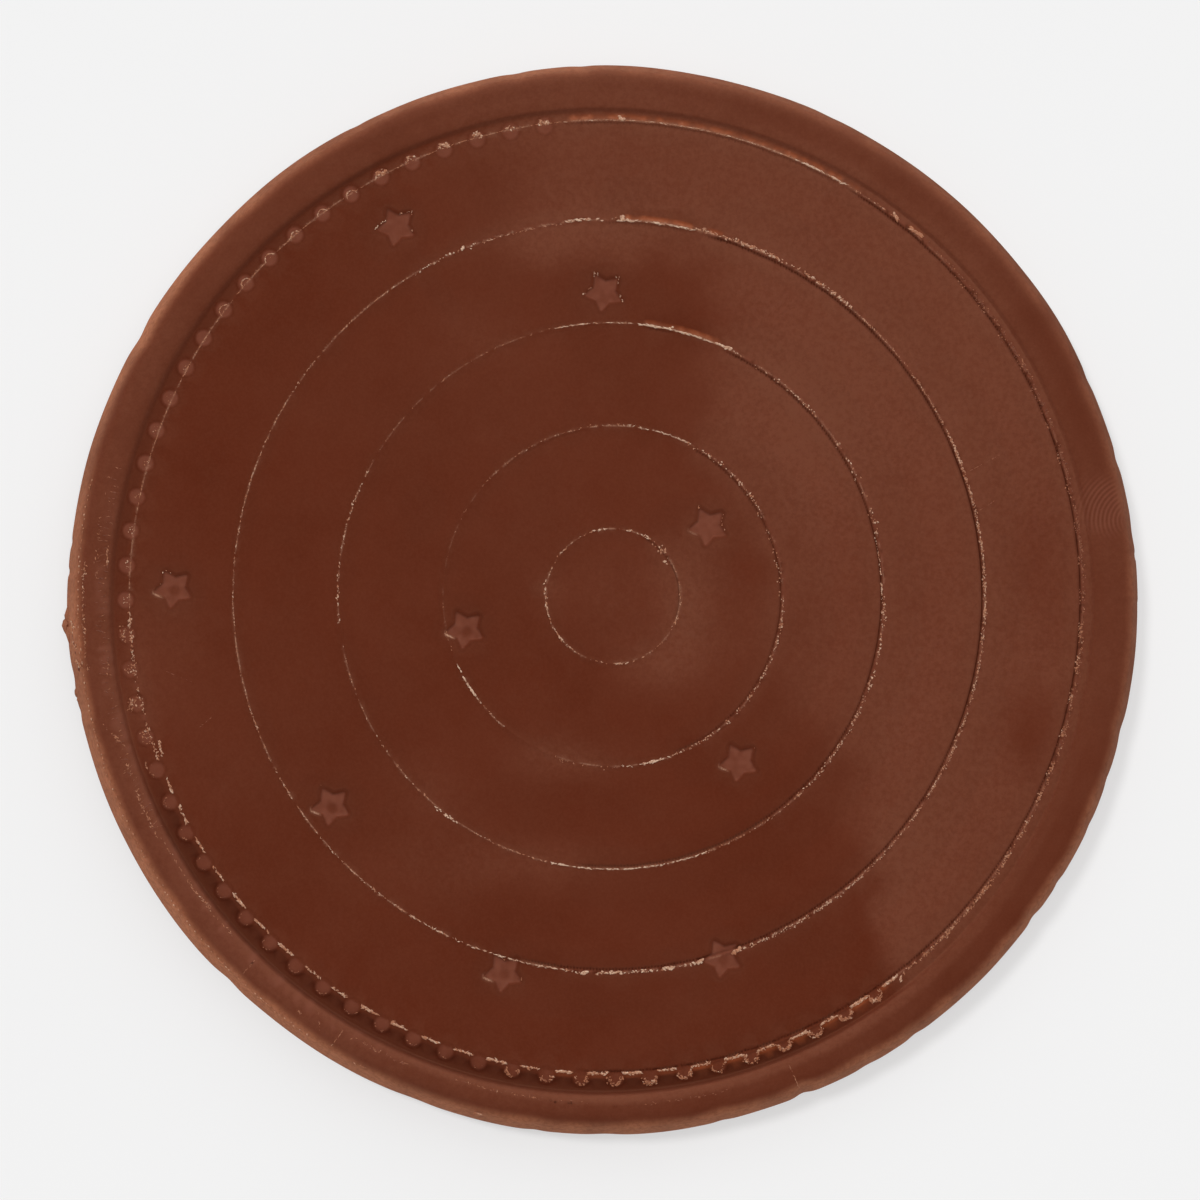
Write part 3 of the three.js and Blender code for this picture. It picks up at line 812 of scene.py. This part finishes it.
def rim_circle(angle, radius, centring, height):
    """A closed loop about the rim's centre, or nearer to the coin's axis as centring rises to 1."""
    centre = np.array(RIM_CENTRE) * (1 - centring)
    return np.column_stack((around(centre, angle, radius), height))


def rim_loops():
    """Points of the rim, one loop after another, with the finish of each."""
    angle = full_turn(RIM_SEGMENTS)
    shift = edge_shift(angle)
    # The painted sheen where the face meets the rim, carried on into the rim
    beside = painted_sheen_share(*SEAM.T)
    loops = []
    for reach in RIM_REACHES:
        ring = np.full(RIM_SEGMENTS, reach)
        uneven = rim_unevenness(ring, angle) * rise(45.5, 46, reach)
        radius = reach + rise(46.6, 49.1, reach) * (shift + uneven)
        height = np.clip(rim_height(ring, angle) + uneven * fall(48.9, 49.6, reach), 0, RIM_TOP)
        loop = rim_circle(angle, radius, rise(46.5, 48.9, reach), height)
        loops.append((loop, rim_tone(ring, angle, beside)))
    for reach, level, share in LOWER_SECTION:
        loop = rim_circle(angle, reach + share * shift, share, np.full(RIM_SEGMENTS, level))
        # The lower wall carries the same scuffed tan and painted light
        loops.append((loop, {"tan": np.full(RIM_SEGMENTS, 0.5 * share)}))
    return loops


def skin_rows(points, finish):
    """Points with the values of their finish beside them."""
    none = np.zeros(len(points))
    return np.column_stack((points, *(finish.get(name, none) for name in FINISHES)))


def face_sheet(plan, faces, seam, surface_at, upward):
    """Rows, triangles and seam of one face of the coin."""
    surface = surface_at(*plan.T)
    triangles = []
    for a, b, c in faces:
        ab = plan[b] - plan[a]
        ac = plan[c] - plan[a]
        counter_clockwise = ab[0] * ac[1] - ab[1] * ac[0] > 0
        triangles.append((a, b, c) if counter_clockwise == upward else (a, c, b))
    return skin_rows(np.column_stack((plan, surface.height)), vars(surface)), triangles, seam


def to_frame(points):
    """Millimetres about the coin's axis to metres in the frame, kept inside the CAD box."""
    return np.clip((np.asarray(points) + AXIS) * MM, np.array(CAD_LOW), np.array(CAD_HIGH))


def add_object(name, data):
    piece = bpy.data.objects.new(name, data)
    bpy.context.scene.collection.objects.link(piece)
    return piece


def make_mesh(name, points, faces, finish):
    mesh = bpy.data.meshes.new(name)
    mesh.from_pydata(to_frame(points).tolist(), [], faces)
    for key, values in finish.items():
        layer = mesh.attributes.new(key, "FLOAT", "POINT")
        layer.data.foreach_set("value", np.clip(values, 0, 1).astype(np.float32))
    mesh.validate()
    mesh.update()
    return add_object(name, mesh)


def make_coin():
    """One closed skin: the top, the loops of the rim and the underside, each joined to the next."""
    sheets = [
        face_sheet(*top_plan(), top_surface, True),
        *((skin_rows(loop, tone), [], range(RIM_SEGMENTS)) for loop, tone in rim_loops()),
        face_sheet(*under_plan(), under_surface, False),
    ]
    faces = []
    upper = []
    count = 0
    for rows, triangles, seam in sheets:
        faces += [tuple(count + corner for corner in triangle) for triangle in triangles]
        lower = [count + index for index in seam]
        faces += zip(upper, lower, lower[1:] + lower[:1], upper[1:] + upper[:1])
        upper = lower
        count += len(rows)
    rows = np.vstack([sheet[0] for sheet in sheets])
    coin = make_mesh("coin_body", rows[:, :3], faces, dict(zip(FINISHES, rows.T[3:])))
    coin.data.shade_smooth()
    return coin


def skin_height(x, y):
    """Height of the coin's upper side at points anywhere on it."""
    reach, angle = polar(x, y, RIM_CENTRE)
    on_rim = rim_height(reach, angle) + rim_unevenness(reach, angle)
    return np.where(reach < GROOVE, top_surface(x, y).height, on_rim)


def unit_solid(kind):
    """Points and triangles of a small round solid: 6 points for a bit, 12 for a flake."""
    if kind == "bit":
        upper = [(0, 1, 2), (1, 3, 2), (3, 4, 2), (4, 0, 2)]
        lower = [(1, 0, 5), (3, 1, 5), (4, 3, 5), (0, 4, 5)]
        return np.vstack((np.eye(3), -np.eye(3))), upper + lower
    ball = bmesh.new()
    bmesh.ops.create_icosphere(ball, subdivisions=1, radius=1)
    ball.verts.index_update()
    points = np.array([vertex.co for vertex in ball.verts])
    faces = [tuple(vertex.index for vertex in face.verts) for face in ball.faces]
    ball.free()
    return points, faces


# Crumbs lie closer together in some stretches of a line than in others: the length of a stretch
PATCH_LENGTH = 0.8


class Crumbs:
    """Gathers many small irregular solids into one mesh; a larger tone is paler."""

    def __init__(self, kind, seed):
        self.shape, self.shape_faces = unit_solid(kind)
        random = np.random.default_rng(seed)
        self.uniform, self.normal = random.uniform, random.normal
        self.rows = []

    def add(self, place, heading, length, width, tone, height=None):
        self.rows.append((*place, heading, length, width, width * 0.75 if height is None else height, tone))

    def along(self, path, density, length, width, scatter, tone):
        """Bits strewn along a path of points, each lying roughly along it."""
        steps = np.hypot(*(path[1:] - path[:-1]).T)
        distance = np.concatenate(([0], np.cumsum(steps)))
        patches = self.uniform(0, 1, int(distance[-1] / PATCH_LENGTH) + 3)
        wild = min(1, scatter / 0.15)
        for _ in range(int(round(distance[-1] * density))):
            at = self.uniform(0, distance[-1])
            index = int(at / PATCH_LENGTH)
            patch = 0.6 * patches[index] + 0.4 * patches[index + 1]
            if self.uniform() > 0.35 + 0.85 * patch:
                continue
            (x, before_x, after_x), (y, before_y, after_y) = (
                np.interp((at, at - 0.1, at + 0.1), distance, side) for side in path.T
            )
            heading = math.atan2(after_y - before_y, after_x - before_x)
            aside = self.normal(0, scatter * 0.6)
            size = self.uniform(0.55, 1.3) * (0.7 + 0.5 * patch)
            self.add(
                shifted((x, y), heading, 0, aside), heading + self.normal(0, 0.15 + 0.6 * wild),
                length * size, width * size * self.uniform(0.8, 1.2),
                np.clip(tone + self.normal(0, 0.14), 0.05, 1),
            )

    def build(self, name):
        x, y, heading, length, width, height, tone = np.array(self.rows).T[:, :, None]
        count, size = len(self.rows), len(self.shape)
        jitter = self.uniform(0.72, 1.2, (count, size, 1))
        local = self.shape * jitter * np.stack((length, width, height), axis=-1) / 2
        tilt = self.normal(0, 0.12, (count, 1))
        place = shifted((x, y), heading, local[..., 0], local[..., 1])
        z = skin_height(x, y) + local[..., 2] + local[..., 0] * tilt + height * 0.12
        points = np.stack((*place, np.minimum(z, RIM_TOP)), axis=-1).reshape(-1, 3)
        faces = np.array(self.shape_faces) + (np.arange(count) * size)[:, None, None]
        return make_mesh(name, points, faces.reshape(-1, 3).tolist(), {"tone": np.repeat(tone, size)})


def ring_path(ring, start, end, offset):
    radius, *centre = ring
    reach = radius + offset
    count = max(3, int(math.radians(end - start) * reach / 0.1))
    return around(centre, np.linspace(start, end, count), reach)


def lip_path(first, second):
    """The broken edge between two beads, from the side of one to the side of the next."""
    turn = np.linspace(first + 0.95, second - 0.95, 24)
    return around(RIM_CENTRE, turn, np.interp(turn, *LIP))


def arch_path(turn, radius, spread, reach):
    """An arc round the outer side of a bead."""
    return around(around(RIM_CENTRE, turn, reach)[0], turn + np.linspace(-spread, spread, 24), radius)


def add_bead_bits(bits):
    """Crumbly arches and lips round the whole beads, as they change from place to place."""
    turns = [bead[2] for bead in ROUND_BEADS]
    for first, second in zip(turns, turns[1:]):
        middle = (first + second) / 2
        if middle > 198:
            strong = 0.75 + 0.25 * rise(205, 262, middle)
            lip = {"density": 24 * strong, "length": 0.4, "width": 0.15, "scatter": 0.08}
            bits.along(lip_path(first, second), tone=0.4 + 0.25 * strong, **lip)
    for turn in turns:
        _, radius, spread, reach, *kind = next(row for row in ARCHES if turn < row[0])
        radius *= bits.uniform(0.9, 1.12)
        spread *= bits.uniform(0.85, 1.15)
        bits.along(arch_path(turn, radius, spread, reach), *kind)


def add_worn_beads(bits):
    """Crumbs heaped where the beads on the right have worn away."""
    for x, y, turn, _ in FAINT_BEADS:
        count, tone = LOWER_HEAP if turn > BEAD_SPAN[1] else UPPER_HEAP
        for _ in range(count):
            out, aside = bits.normal(0, 0.1), bits.normal(0, 0.42)
            bits.add(
                shifted((x, y), math.radians(turn), out, aside), bits.uniform(0, math.pi),
                bits.uniform(0.14, 0.3), bits.uniform(0.1, 0.16),
                np.clip(bits.normal(tone, 0.16), 0.05, 0.9),
            )


def add_rim_specks(bits):
    """A row of pale specks where the scuffed wall meets the top of the rim."""
    turn, end = SPECK_SPAN
    while turn < end:
        place = around(RIM_CENTRE, turn, SPECK_REACH + 0.06 * bits.normal())[0]
        bits.add(
            place, math.radians(turn + 90), bits.uniform(0.15, 0.35),
            bits.uniform(0.1, 0.18), bits.uniform(0.4, 0.75),
        )
        turn += bits.uniform(0.3, 1.1)


def add_wrinkles(bits):
    """Short faint wrinkles across the inner slope of the rim at the left."""
    for turn in np.arange(*WRINKLE_SPAN):
        start = WRINKLE_START + bits.uniform(-0.1, 0.25)
        reach = np.linspace(start, start + bits.uniform(0.4, 1.1), 12)
        lean = np.linspace(turn, turn + bits.uniform(-0.4, 0.4), 12)
        path = around(RIM_CENTRE, lean, reach)
        bits.along(path, tone=bits.uniform(0.05, 0.22), **WRINKLE_CRUMB)


def make_bits():
    bits = Crumbs("bit", seed=5)
    for ring, arcs in zip(RINGS, RING_BITS):
        for start, end, density, length, width, scatter, offset, tone in arcs:
            bits.along(ring_path(ring, start, end, offset), density, length, width, scatter, tone)
    add_bead_bits(bits)
    add_worn_beads(bits)
    for turn_a, reach_a, turn_b, reach_b, density, breadth, scatter, paleness in SCRATCHES:
        path = around(RIM_CENTRE, np.linspace(turn_a, turn_b, 20), np.linspace(reach_a, reach_b, 20))
        bits.along(
            path, density * SCRATCH_CRUMBS_PER_MM, SCRATCH_CRUMB_LENGTH, breadth * SCRATCH_CRUMB_WIDTH,
            scatter, paleness * SCRATCH_CRUMB_TONE,
        )
    add_rim_specks(bits)
    add_wrinkles(bits)
    for index, start, end, density, tone in STAR_BITS:
        path = star_path(STARS[index][:2], start, end)
        bits.along(path, density * STAR_CRUMBS_PER_MM, tone=tone, **STAR_CRUMB)
    return bits.build("ring_crumbs")


def make_flakes():
    flakes = Crumbs("flake", seed=6)
    for index, turn, offset, length, width, skew, tone in FLAKES:
        radius, *centre = RINGS[index]
        middle = around(centre, turn, radius + offset)[0]
        heading = math.radians(turn + 90 + skew)
        for _ in range(max(3, int(length * 9))):
            along = flakes.uniform(-0.4, 0.4) * length
            aside = flakes.uniform(-0.3, 0.3) * width
            flakes.add(
                shifted(middle, heading, along, aside), heading + flakes.normal(0, 0.35),
                length * flakes.uniform(0.35, 0.6), width * flakes.uniform(0.5, 0.9),
                tone * flakes.uniform(0.75, 1.05), height=0.16,
            )
    return flakes.build("broken_flakes")


def make_burrs():
    """Lumps on the wall of the rim, drawn out along it; the tones of the small ones paint highlights and
    dark gaps.
    """
    shape, shape_faces = unit_solid("flake")
    random = np.random.default_rng(9)
    points, faces = [], []
    for turn, reach, height, along, out, up, _ in BURRS:
        faces += [tuple(len(points) + index for index in face) for face in shape_faces]
        for corner in shape * random.uniform(0.75, 1.15, (len(shape), 1)):
            place = shifted((0, 0), math.radians(turn), reach + corner[0] * out, corner[1] * along)
            points.append((*place, height + corner[2] * up))
    # Tones of the lumps, painting highlights on some small ones and dark gaps on others
    tones = np.repeat([row[-1] for row in BURRS], len(shape))
    return make_mesh("edge_burrs", points, faces, {"tone": tones})


def linear(*channels):
    """A colour as it looks on screen, 0 to 255, as the linear values that shaders use."""
    values = [channel / 255 for channel in channels]
    return (*(v / 12.92 if v <= 0.04045 else ((v + 0.055) / 1.055) ** 2.4 for v in values), 1)


class Nodes:
    """Small helper for building a node tree; each input is a value or another node's output."""

    def __init__(self, tree):
        self.tree = tree
        tree.nodes.clear()

    def add(self, kind, inputs=None, **settings):
        node = self.tree.nodes.new("ShaderNode" + kind)
        for key, value in settings.items():
            setattr(node, key, value)
        for key, value in (inputs or {}).items():
            if isinstance(value, bpy.types.NodeSocket):
                self.tree.links.new(value, node.inputs[key])
            else:
                node.inputs[key].default_value = value
        return node

    def attribute(self, name):
        return self.add("Attribute", attribute_name=name).outputs["Fac"]

    def coordinates(self):
        return self.add("TexCoord").outputs["Object"]

    def noise(self, length, detail=2, roughness=0.5):
        """Noise that changes over a length in millimetres."""
        inputs = {"Scale": 1 / (length * MM), "Detail": detail, "Roughness": roughness}
        return self.add("TexNoise", {"Vector": self.coordinates(), **inputs}).outputs["Fac"]

    def ripples(self, middle, size, spacing):
        """Curved parallel lines a spacing apart, and a soft patch of the given size round a middle."""
        moved = {"Vector": self.coordinates(), "Location": [v * MM for v in middle]}
        place = self.add("Mapping", moved, vector_type="TEXTURE").outputs[0]
        apart = self.add("VectorMath", {0: place}, operation="LENGTH").outputs["Value"]
        patch = self.remap(apart, size * 0.4 * MM, size * MM, 0.55, 0)
        beside = self.add("VectorMath", {0: place, 1: (-2.6 * MM, 1.4 * MM, 0)}, operation="ADD")
        inputs = {
            "Vector": beside.outputs[0], "Scale": math.pi / 10 / (spacing * MM),
            "Distortion": 1.5, "Detail Scale": 0.2 / (spacing * MM),
        }
        return self.add("TexWave", inputs, wave_type="RINGS", rings_direction="Z").outputs["Fac"], patch

    def math(self, operation, first, second=0):
        return self.add("Math", {0: first, 1: second}, operation=operation).outputs[0]

    def times(self, first, second):
        return self.math("MULTIPLY", first, second)

    def remap(self, value, low, high, to_low=0, to_high=1):
        inputs = {"Value": value, "From Min": low, "From Max": high, "To Min": to_low, "To Max": to_high}
        return self.add("MapRange", inputs, interpolation_type="SMOOTHSTEP").outputs["Result"]

    def mix(self, factor, first, second):
        """Mixes two colours; each is a colour value or a socket."""
        return self.add("Mix", {"Factor": factor, 6: first, 7: second}, data_type="RGBA").outputs[2]

    def bump(self, height, distance, **normal):
        return self.add("Bump", {"Height": height, "Distance": distance * MM, **normal}).outputs["Normal"]

    def finish(self, **inputs):
        """Ends a material in one glossy surface."""
        shader = self.add("BsdfPrincipled", {key.replace("_", " "): value for key, value in inputs.items()})
        self.add("OutputMaterial", {"Surface": shader.outputs["BSDF"]})


FIELD_DARK = linear(86, 31, 14)
FIELD_LIGHT = linear(89, 33, 16)
# Lighter colour of the painted sheen, a painted reflection
PAINTED_SHEEN_TONE = linear(107, 56, 39)
GRAIN_TONE = linear(112, 60, 42)
HAZE_TONE = linear(122, 70, 54)
PALE_TONE = linear(205, 158, 130)
# Orange of fresh breaks, with a painted glow of light through thin chocolate
BREAK_GLOW_TONE = linear(144, 68, 36)
# Tan of scuffs, standing in as well for painted light on the steep wall
SCUFF_AND_LIGHT_TONE = linear(184, 117, 85)
# Colour of the painted shade
PAINTED_SHADE_TONE = linear(52, 15, 6)
SPECULAR_TINT = (1, 0.6, 0.36, 1)

# How much rougher each finish makes the skin
ROUGHENING = {"haze": 0.28, "tan": 0.5, "break_glow": 0.3, "dull": 0.4, "deep": 0.5}

# A finger's print on the right of the rim: its middle, half size and the spacing of its ridges
PRINT_MIDDLE = (46.5, 8.6, 6.2)
PRINT_SIZE = 3.6
PRINT_RIDGE = 0.4


def new_material(name):
    material = bpy.data.materials.new(name)
    material.use_nodes = True
    return material, Nodes(material.node_tree)


def coin_material():
    material, nodes = new_material("milk_chocolate")
    share = {name: nodes.attribute(name) for name in FINISHES}
    sheen = nodes.times(share["sheen"], nodes.remap(nodes.noise(0.5, 3, 0.75), 0.3, 0.7, 0.7, 1.3))
    grain = nodes.remap(nodes.noise(0.22), 0.3, 0.75)
    coarse = nodes.remap(nodes.noise(0.45, 3, 0.7), 0.3, 0.65, 0.6, 1)
    broken = nodes.remap(nodes.noise(0.16, 2, 0.7), 0.35, 0.6, 0.3, 1)
    colour = nodes.mix(nodes.remap(nodes.noise(9, 3), 0.35, 0.65), FIELD_DARK, FIELD_LIGHT)
    # Layers over the base colour: painted sheen, grain, dull haze, scuffs with painted wall light, painted
    # shade, fresh breaks with a painted glow, pale bits and a finger's print
    layers = (
        (sheen, PAINTED_SHEEN_TONE),
        (nodes.times(grain, nodes.remap(sheen, 0.2, 0.8, 0.16, 0.3)), GRAIN_TONE),
        (share["haze"], HAZE_TONE),
        (nodes.times(share["tan"], coarse), SCUFF_AND_LIGHT_TONE),
        (share["deep"], PAINTED_SHADE_TONE),
        (share["break_glow"], BREAK_GLOW_TONE),
        (nodes.times(share["pale"], broken), PALE_TONE),
        (nodes.times(*nodes.ripples(PRINT_MIDDLE, PRINT_SIZE, PRINT_RIDGE)), HAZE_TONE),
    )
    for amount, tone in layers:
        colour = nodes.mix(amount, colour, tone)
    rough = nodes.remap(nodes.noise(2.6, 3), 0.3, 0.7, 0.285, 0.33)
    rough = nodes.math("ADD", rough, nodes.times(sheen, 0.12))
    for name, amount in ROUGHENING.items():
        rough = nodes.math("ADD", rough, nodes.times(share[name], amount))
    fine = nodes.bump(nodes.noise(0.2), 0.002)
    nodes.finish(
        Base_Color=colour, Roughness=rough, Normal=nodes.bump(nodes.noise(1.1), 0.003, Normal=fine),
        Specular_IOR_Level=0.5, Specular_Tint=SPECULAR_TINT, Subsurface_Weight=0.1,
        Subsurface_Radius=(1, 0.35, 0.15), Subsurface_Scale=0.6 * MM,
    )
    return material


def crumb_material():
    material, nodes = new_material("crumbled_chocolate")
    tone = nodes.attribute("tone")
    warm = nodes.mix(nodes.remap(tone, 0, 0.55), linear(108, 55, 38), linear(174, 112, 78))
    colour = nodes.mix(nodes.remap(tone, 0.45, 1), warm, linear(222, 189, 162))
    patch = nodes.remap(nodes.noise(0.12), 0.4, 0.7, 0, 0.55)
    nodes.finish(
        Base_Color=nodes.mix(patch, colour, linear(132, 76, 52)),
        Roughness=nodes.remap(nodes.noise(0.2), 0.3, 0.7, 0.45, 0.7),
        Normal=nodes.bump(nodes.noise(0.08), 0.01),
    )
    return material


FLOOR_SIZE = 1.5
FLOOR_ALBEDO = 0.35
FLOOR_GLOW = 0.538


def floor_material():
    material, nodes = new_material("pale_floor")
    low, high = ((grey, grey, grey, 1) for grey in (FLOOR_ALBEDO - 0.002, FLOOR_ALBEDO + 0.002))
    nodes.finish(
        Base_Color=nodes.mix(nodes.remap(nodes.noise(60), 0.3, 0.7), low, high),
        Roughness=0.9, Specular_IOR_Level=0,
        Emission_Color=(1, 1, 1, 1), Emission_Strength=FLOOR_GLOW,
    )
    return material


def make_floor():
    corners = [(x * FLOOR_SIZE, y * FLOOR_SIZE, 0) for x, y in ((-1, -1), (1, -1), (1, 1), (-1, 1))]
    mesh = bpy.data.meshes.new("floor")
    mesh.from_pydata(corners, [], [(0, 1, 2, 3)])
    floor = add_object("floor", mesh)
    mesh.materials.append(floor_material())
    floor.visible_glossy = False


def direction(turn, height):
    """The direction at a turn about the coin and a height above the table."""
    turn, height = math.radians(turn), math.radians(height)
    return Vector((math.cos(turn) * math.cos(height), math.sin(turn) * math.cos(height), math.sin(height)))


# The camera looks almost straight down, leaning a little to the coin's lower left
CAMERA_HEIGHT = 87
CAMERA_TURN = 205
CAMERA_DISTANCE = 400
CAMERA_TARGET = (-0.62, -0.13, 3.2)
FOCAL_PIXELS = 4295.6
PHOTO_PIXELS = 1200
SENSOR_WIDTH = 36


def make_camera():
    data = bpy.data.cameras.new("camera")
    data.sensor_width = SENSOR_WIDTH
    data.lens = FOCAL_PIXELS * SENSOR_WIDTH / PHOTO_PIXELS
    camera = add_object("camera", data)
    back = direction(CAMERA_TURN, CAMERA_HEIGHT)
    right = Vector((0, 1, 0)).cross(back).normalized()
    place = (Vector(CAMERA_TARGET) + Vector(AXIS) + CAMERA_DISTANCE * back) * MM
    rotation = Matrix((right, back.cross(right), back)).transposed().to_4x4()
    camera.matrix_world = Matrix.Translation(place) @ rotation
    bpy.context.scene.camera = camera


# The studio's light by direction: dark overhead, lighter towards its walls, with a large soft
# panel behind the coin and a little to its right. The panel's start, end and width are parts of
# a unit direction, towards the panel and across it
OVERHEAD = 0.12
WALLS = 0.4
PANEL_TURN = 72
PANEL_LEVEL = 1.5
PANEL_START = 0.12
PANEL_END = 0.5
PANEL_WIDTH = 0.62

# The lights: strength, how wide each is, its direction and its height above the table
LIGHTS = {"key": (1.4, 10, 142, 62), "fill": (0.5, 60, 90, 90)}


def make_studio():
    world = bpy.data.worlds.new("studio")
    bpy.context.scene.world = world
    world.use_nodes = True
    nodes = Nodes(world.node_tree)
    sight = nodes.add("TexCoord").outputs["Generated"]
    panel_way = direction(PANEL_TURN, 0)
    towards, across, upward = (
        nodes.add("VectorMath", {0: sight, 1: way}, operation="DOT_PRODUCT").outputs["Value"]
        for way in (panel_way, (panel_way.y, -panel_way.x, 0), (0, 0, 1))
    )
    aside = nodes.math("ABSOLUTE", across)
    panel = nodes.times(
        nodes.remap(towards, PANEL_START, PANEL_END),
        nodes.remap(aside, PANEL_WIDTH - 0.3, PANEL_WIDTH + 0.3, 1, 0),
    )
    room = nodes.remap(upward, 0.6, 0.97, WALLS, OVERHEAD)
    dim = nodes.times(nodes.math("SUBTRACT", 1, panel), room)
    light = nodes.math("ADD", nodes.times(panel, PANEL_LEVEL), dim)
    above = nodes.remap(upward, -0.02, 0.02)
    background = nodes.add("Background", {"Strength": nodes.times(above, light)})
    nodes.add("OutputWorld", {"Surface": background.outputs[0]})


def make_lights():
    for name, (strength, wide, turn, height) in LIGHTS.items():
        data = bpy.data.lights.new(name, "SUN")
        data.energy = strength
        data.angle = math.radians(wide)
        light = add_object(name, data)
        light.visible_glossy = False
        light.rotation_euler = direction(turn, height).to_track_quat("Z", "Y").to_euler()


def place_on_coin(piece, material):
    piece.data.materials.append(material)
    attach(piece, "root")
    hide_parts(NODE)


make_camera()
make_studio()
make_lights()
make_floor()
bpy.context.scene.view_settings.view_transform = "Standard"

place_on_coin(make_coin(), coin_material())
crumbled = crumb_material()
for make_piece in (make_bits, make_flakes, make_burrs):
    place_on_coin(make_piece(), crumbled)
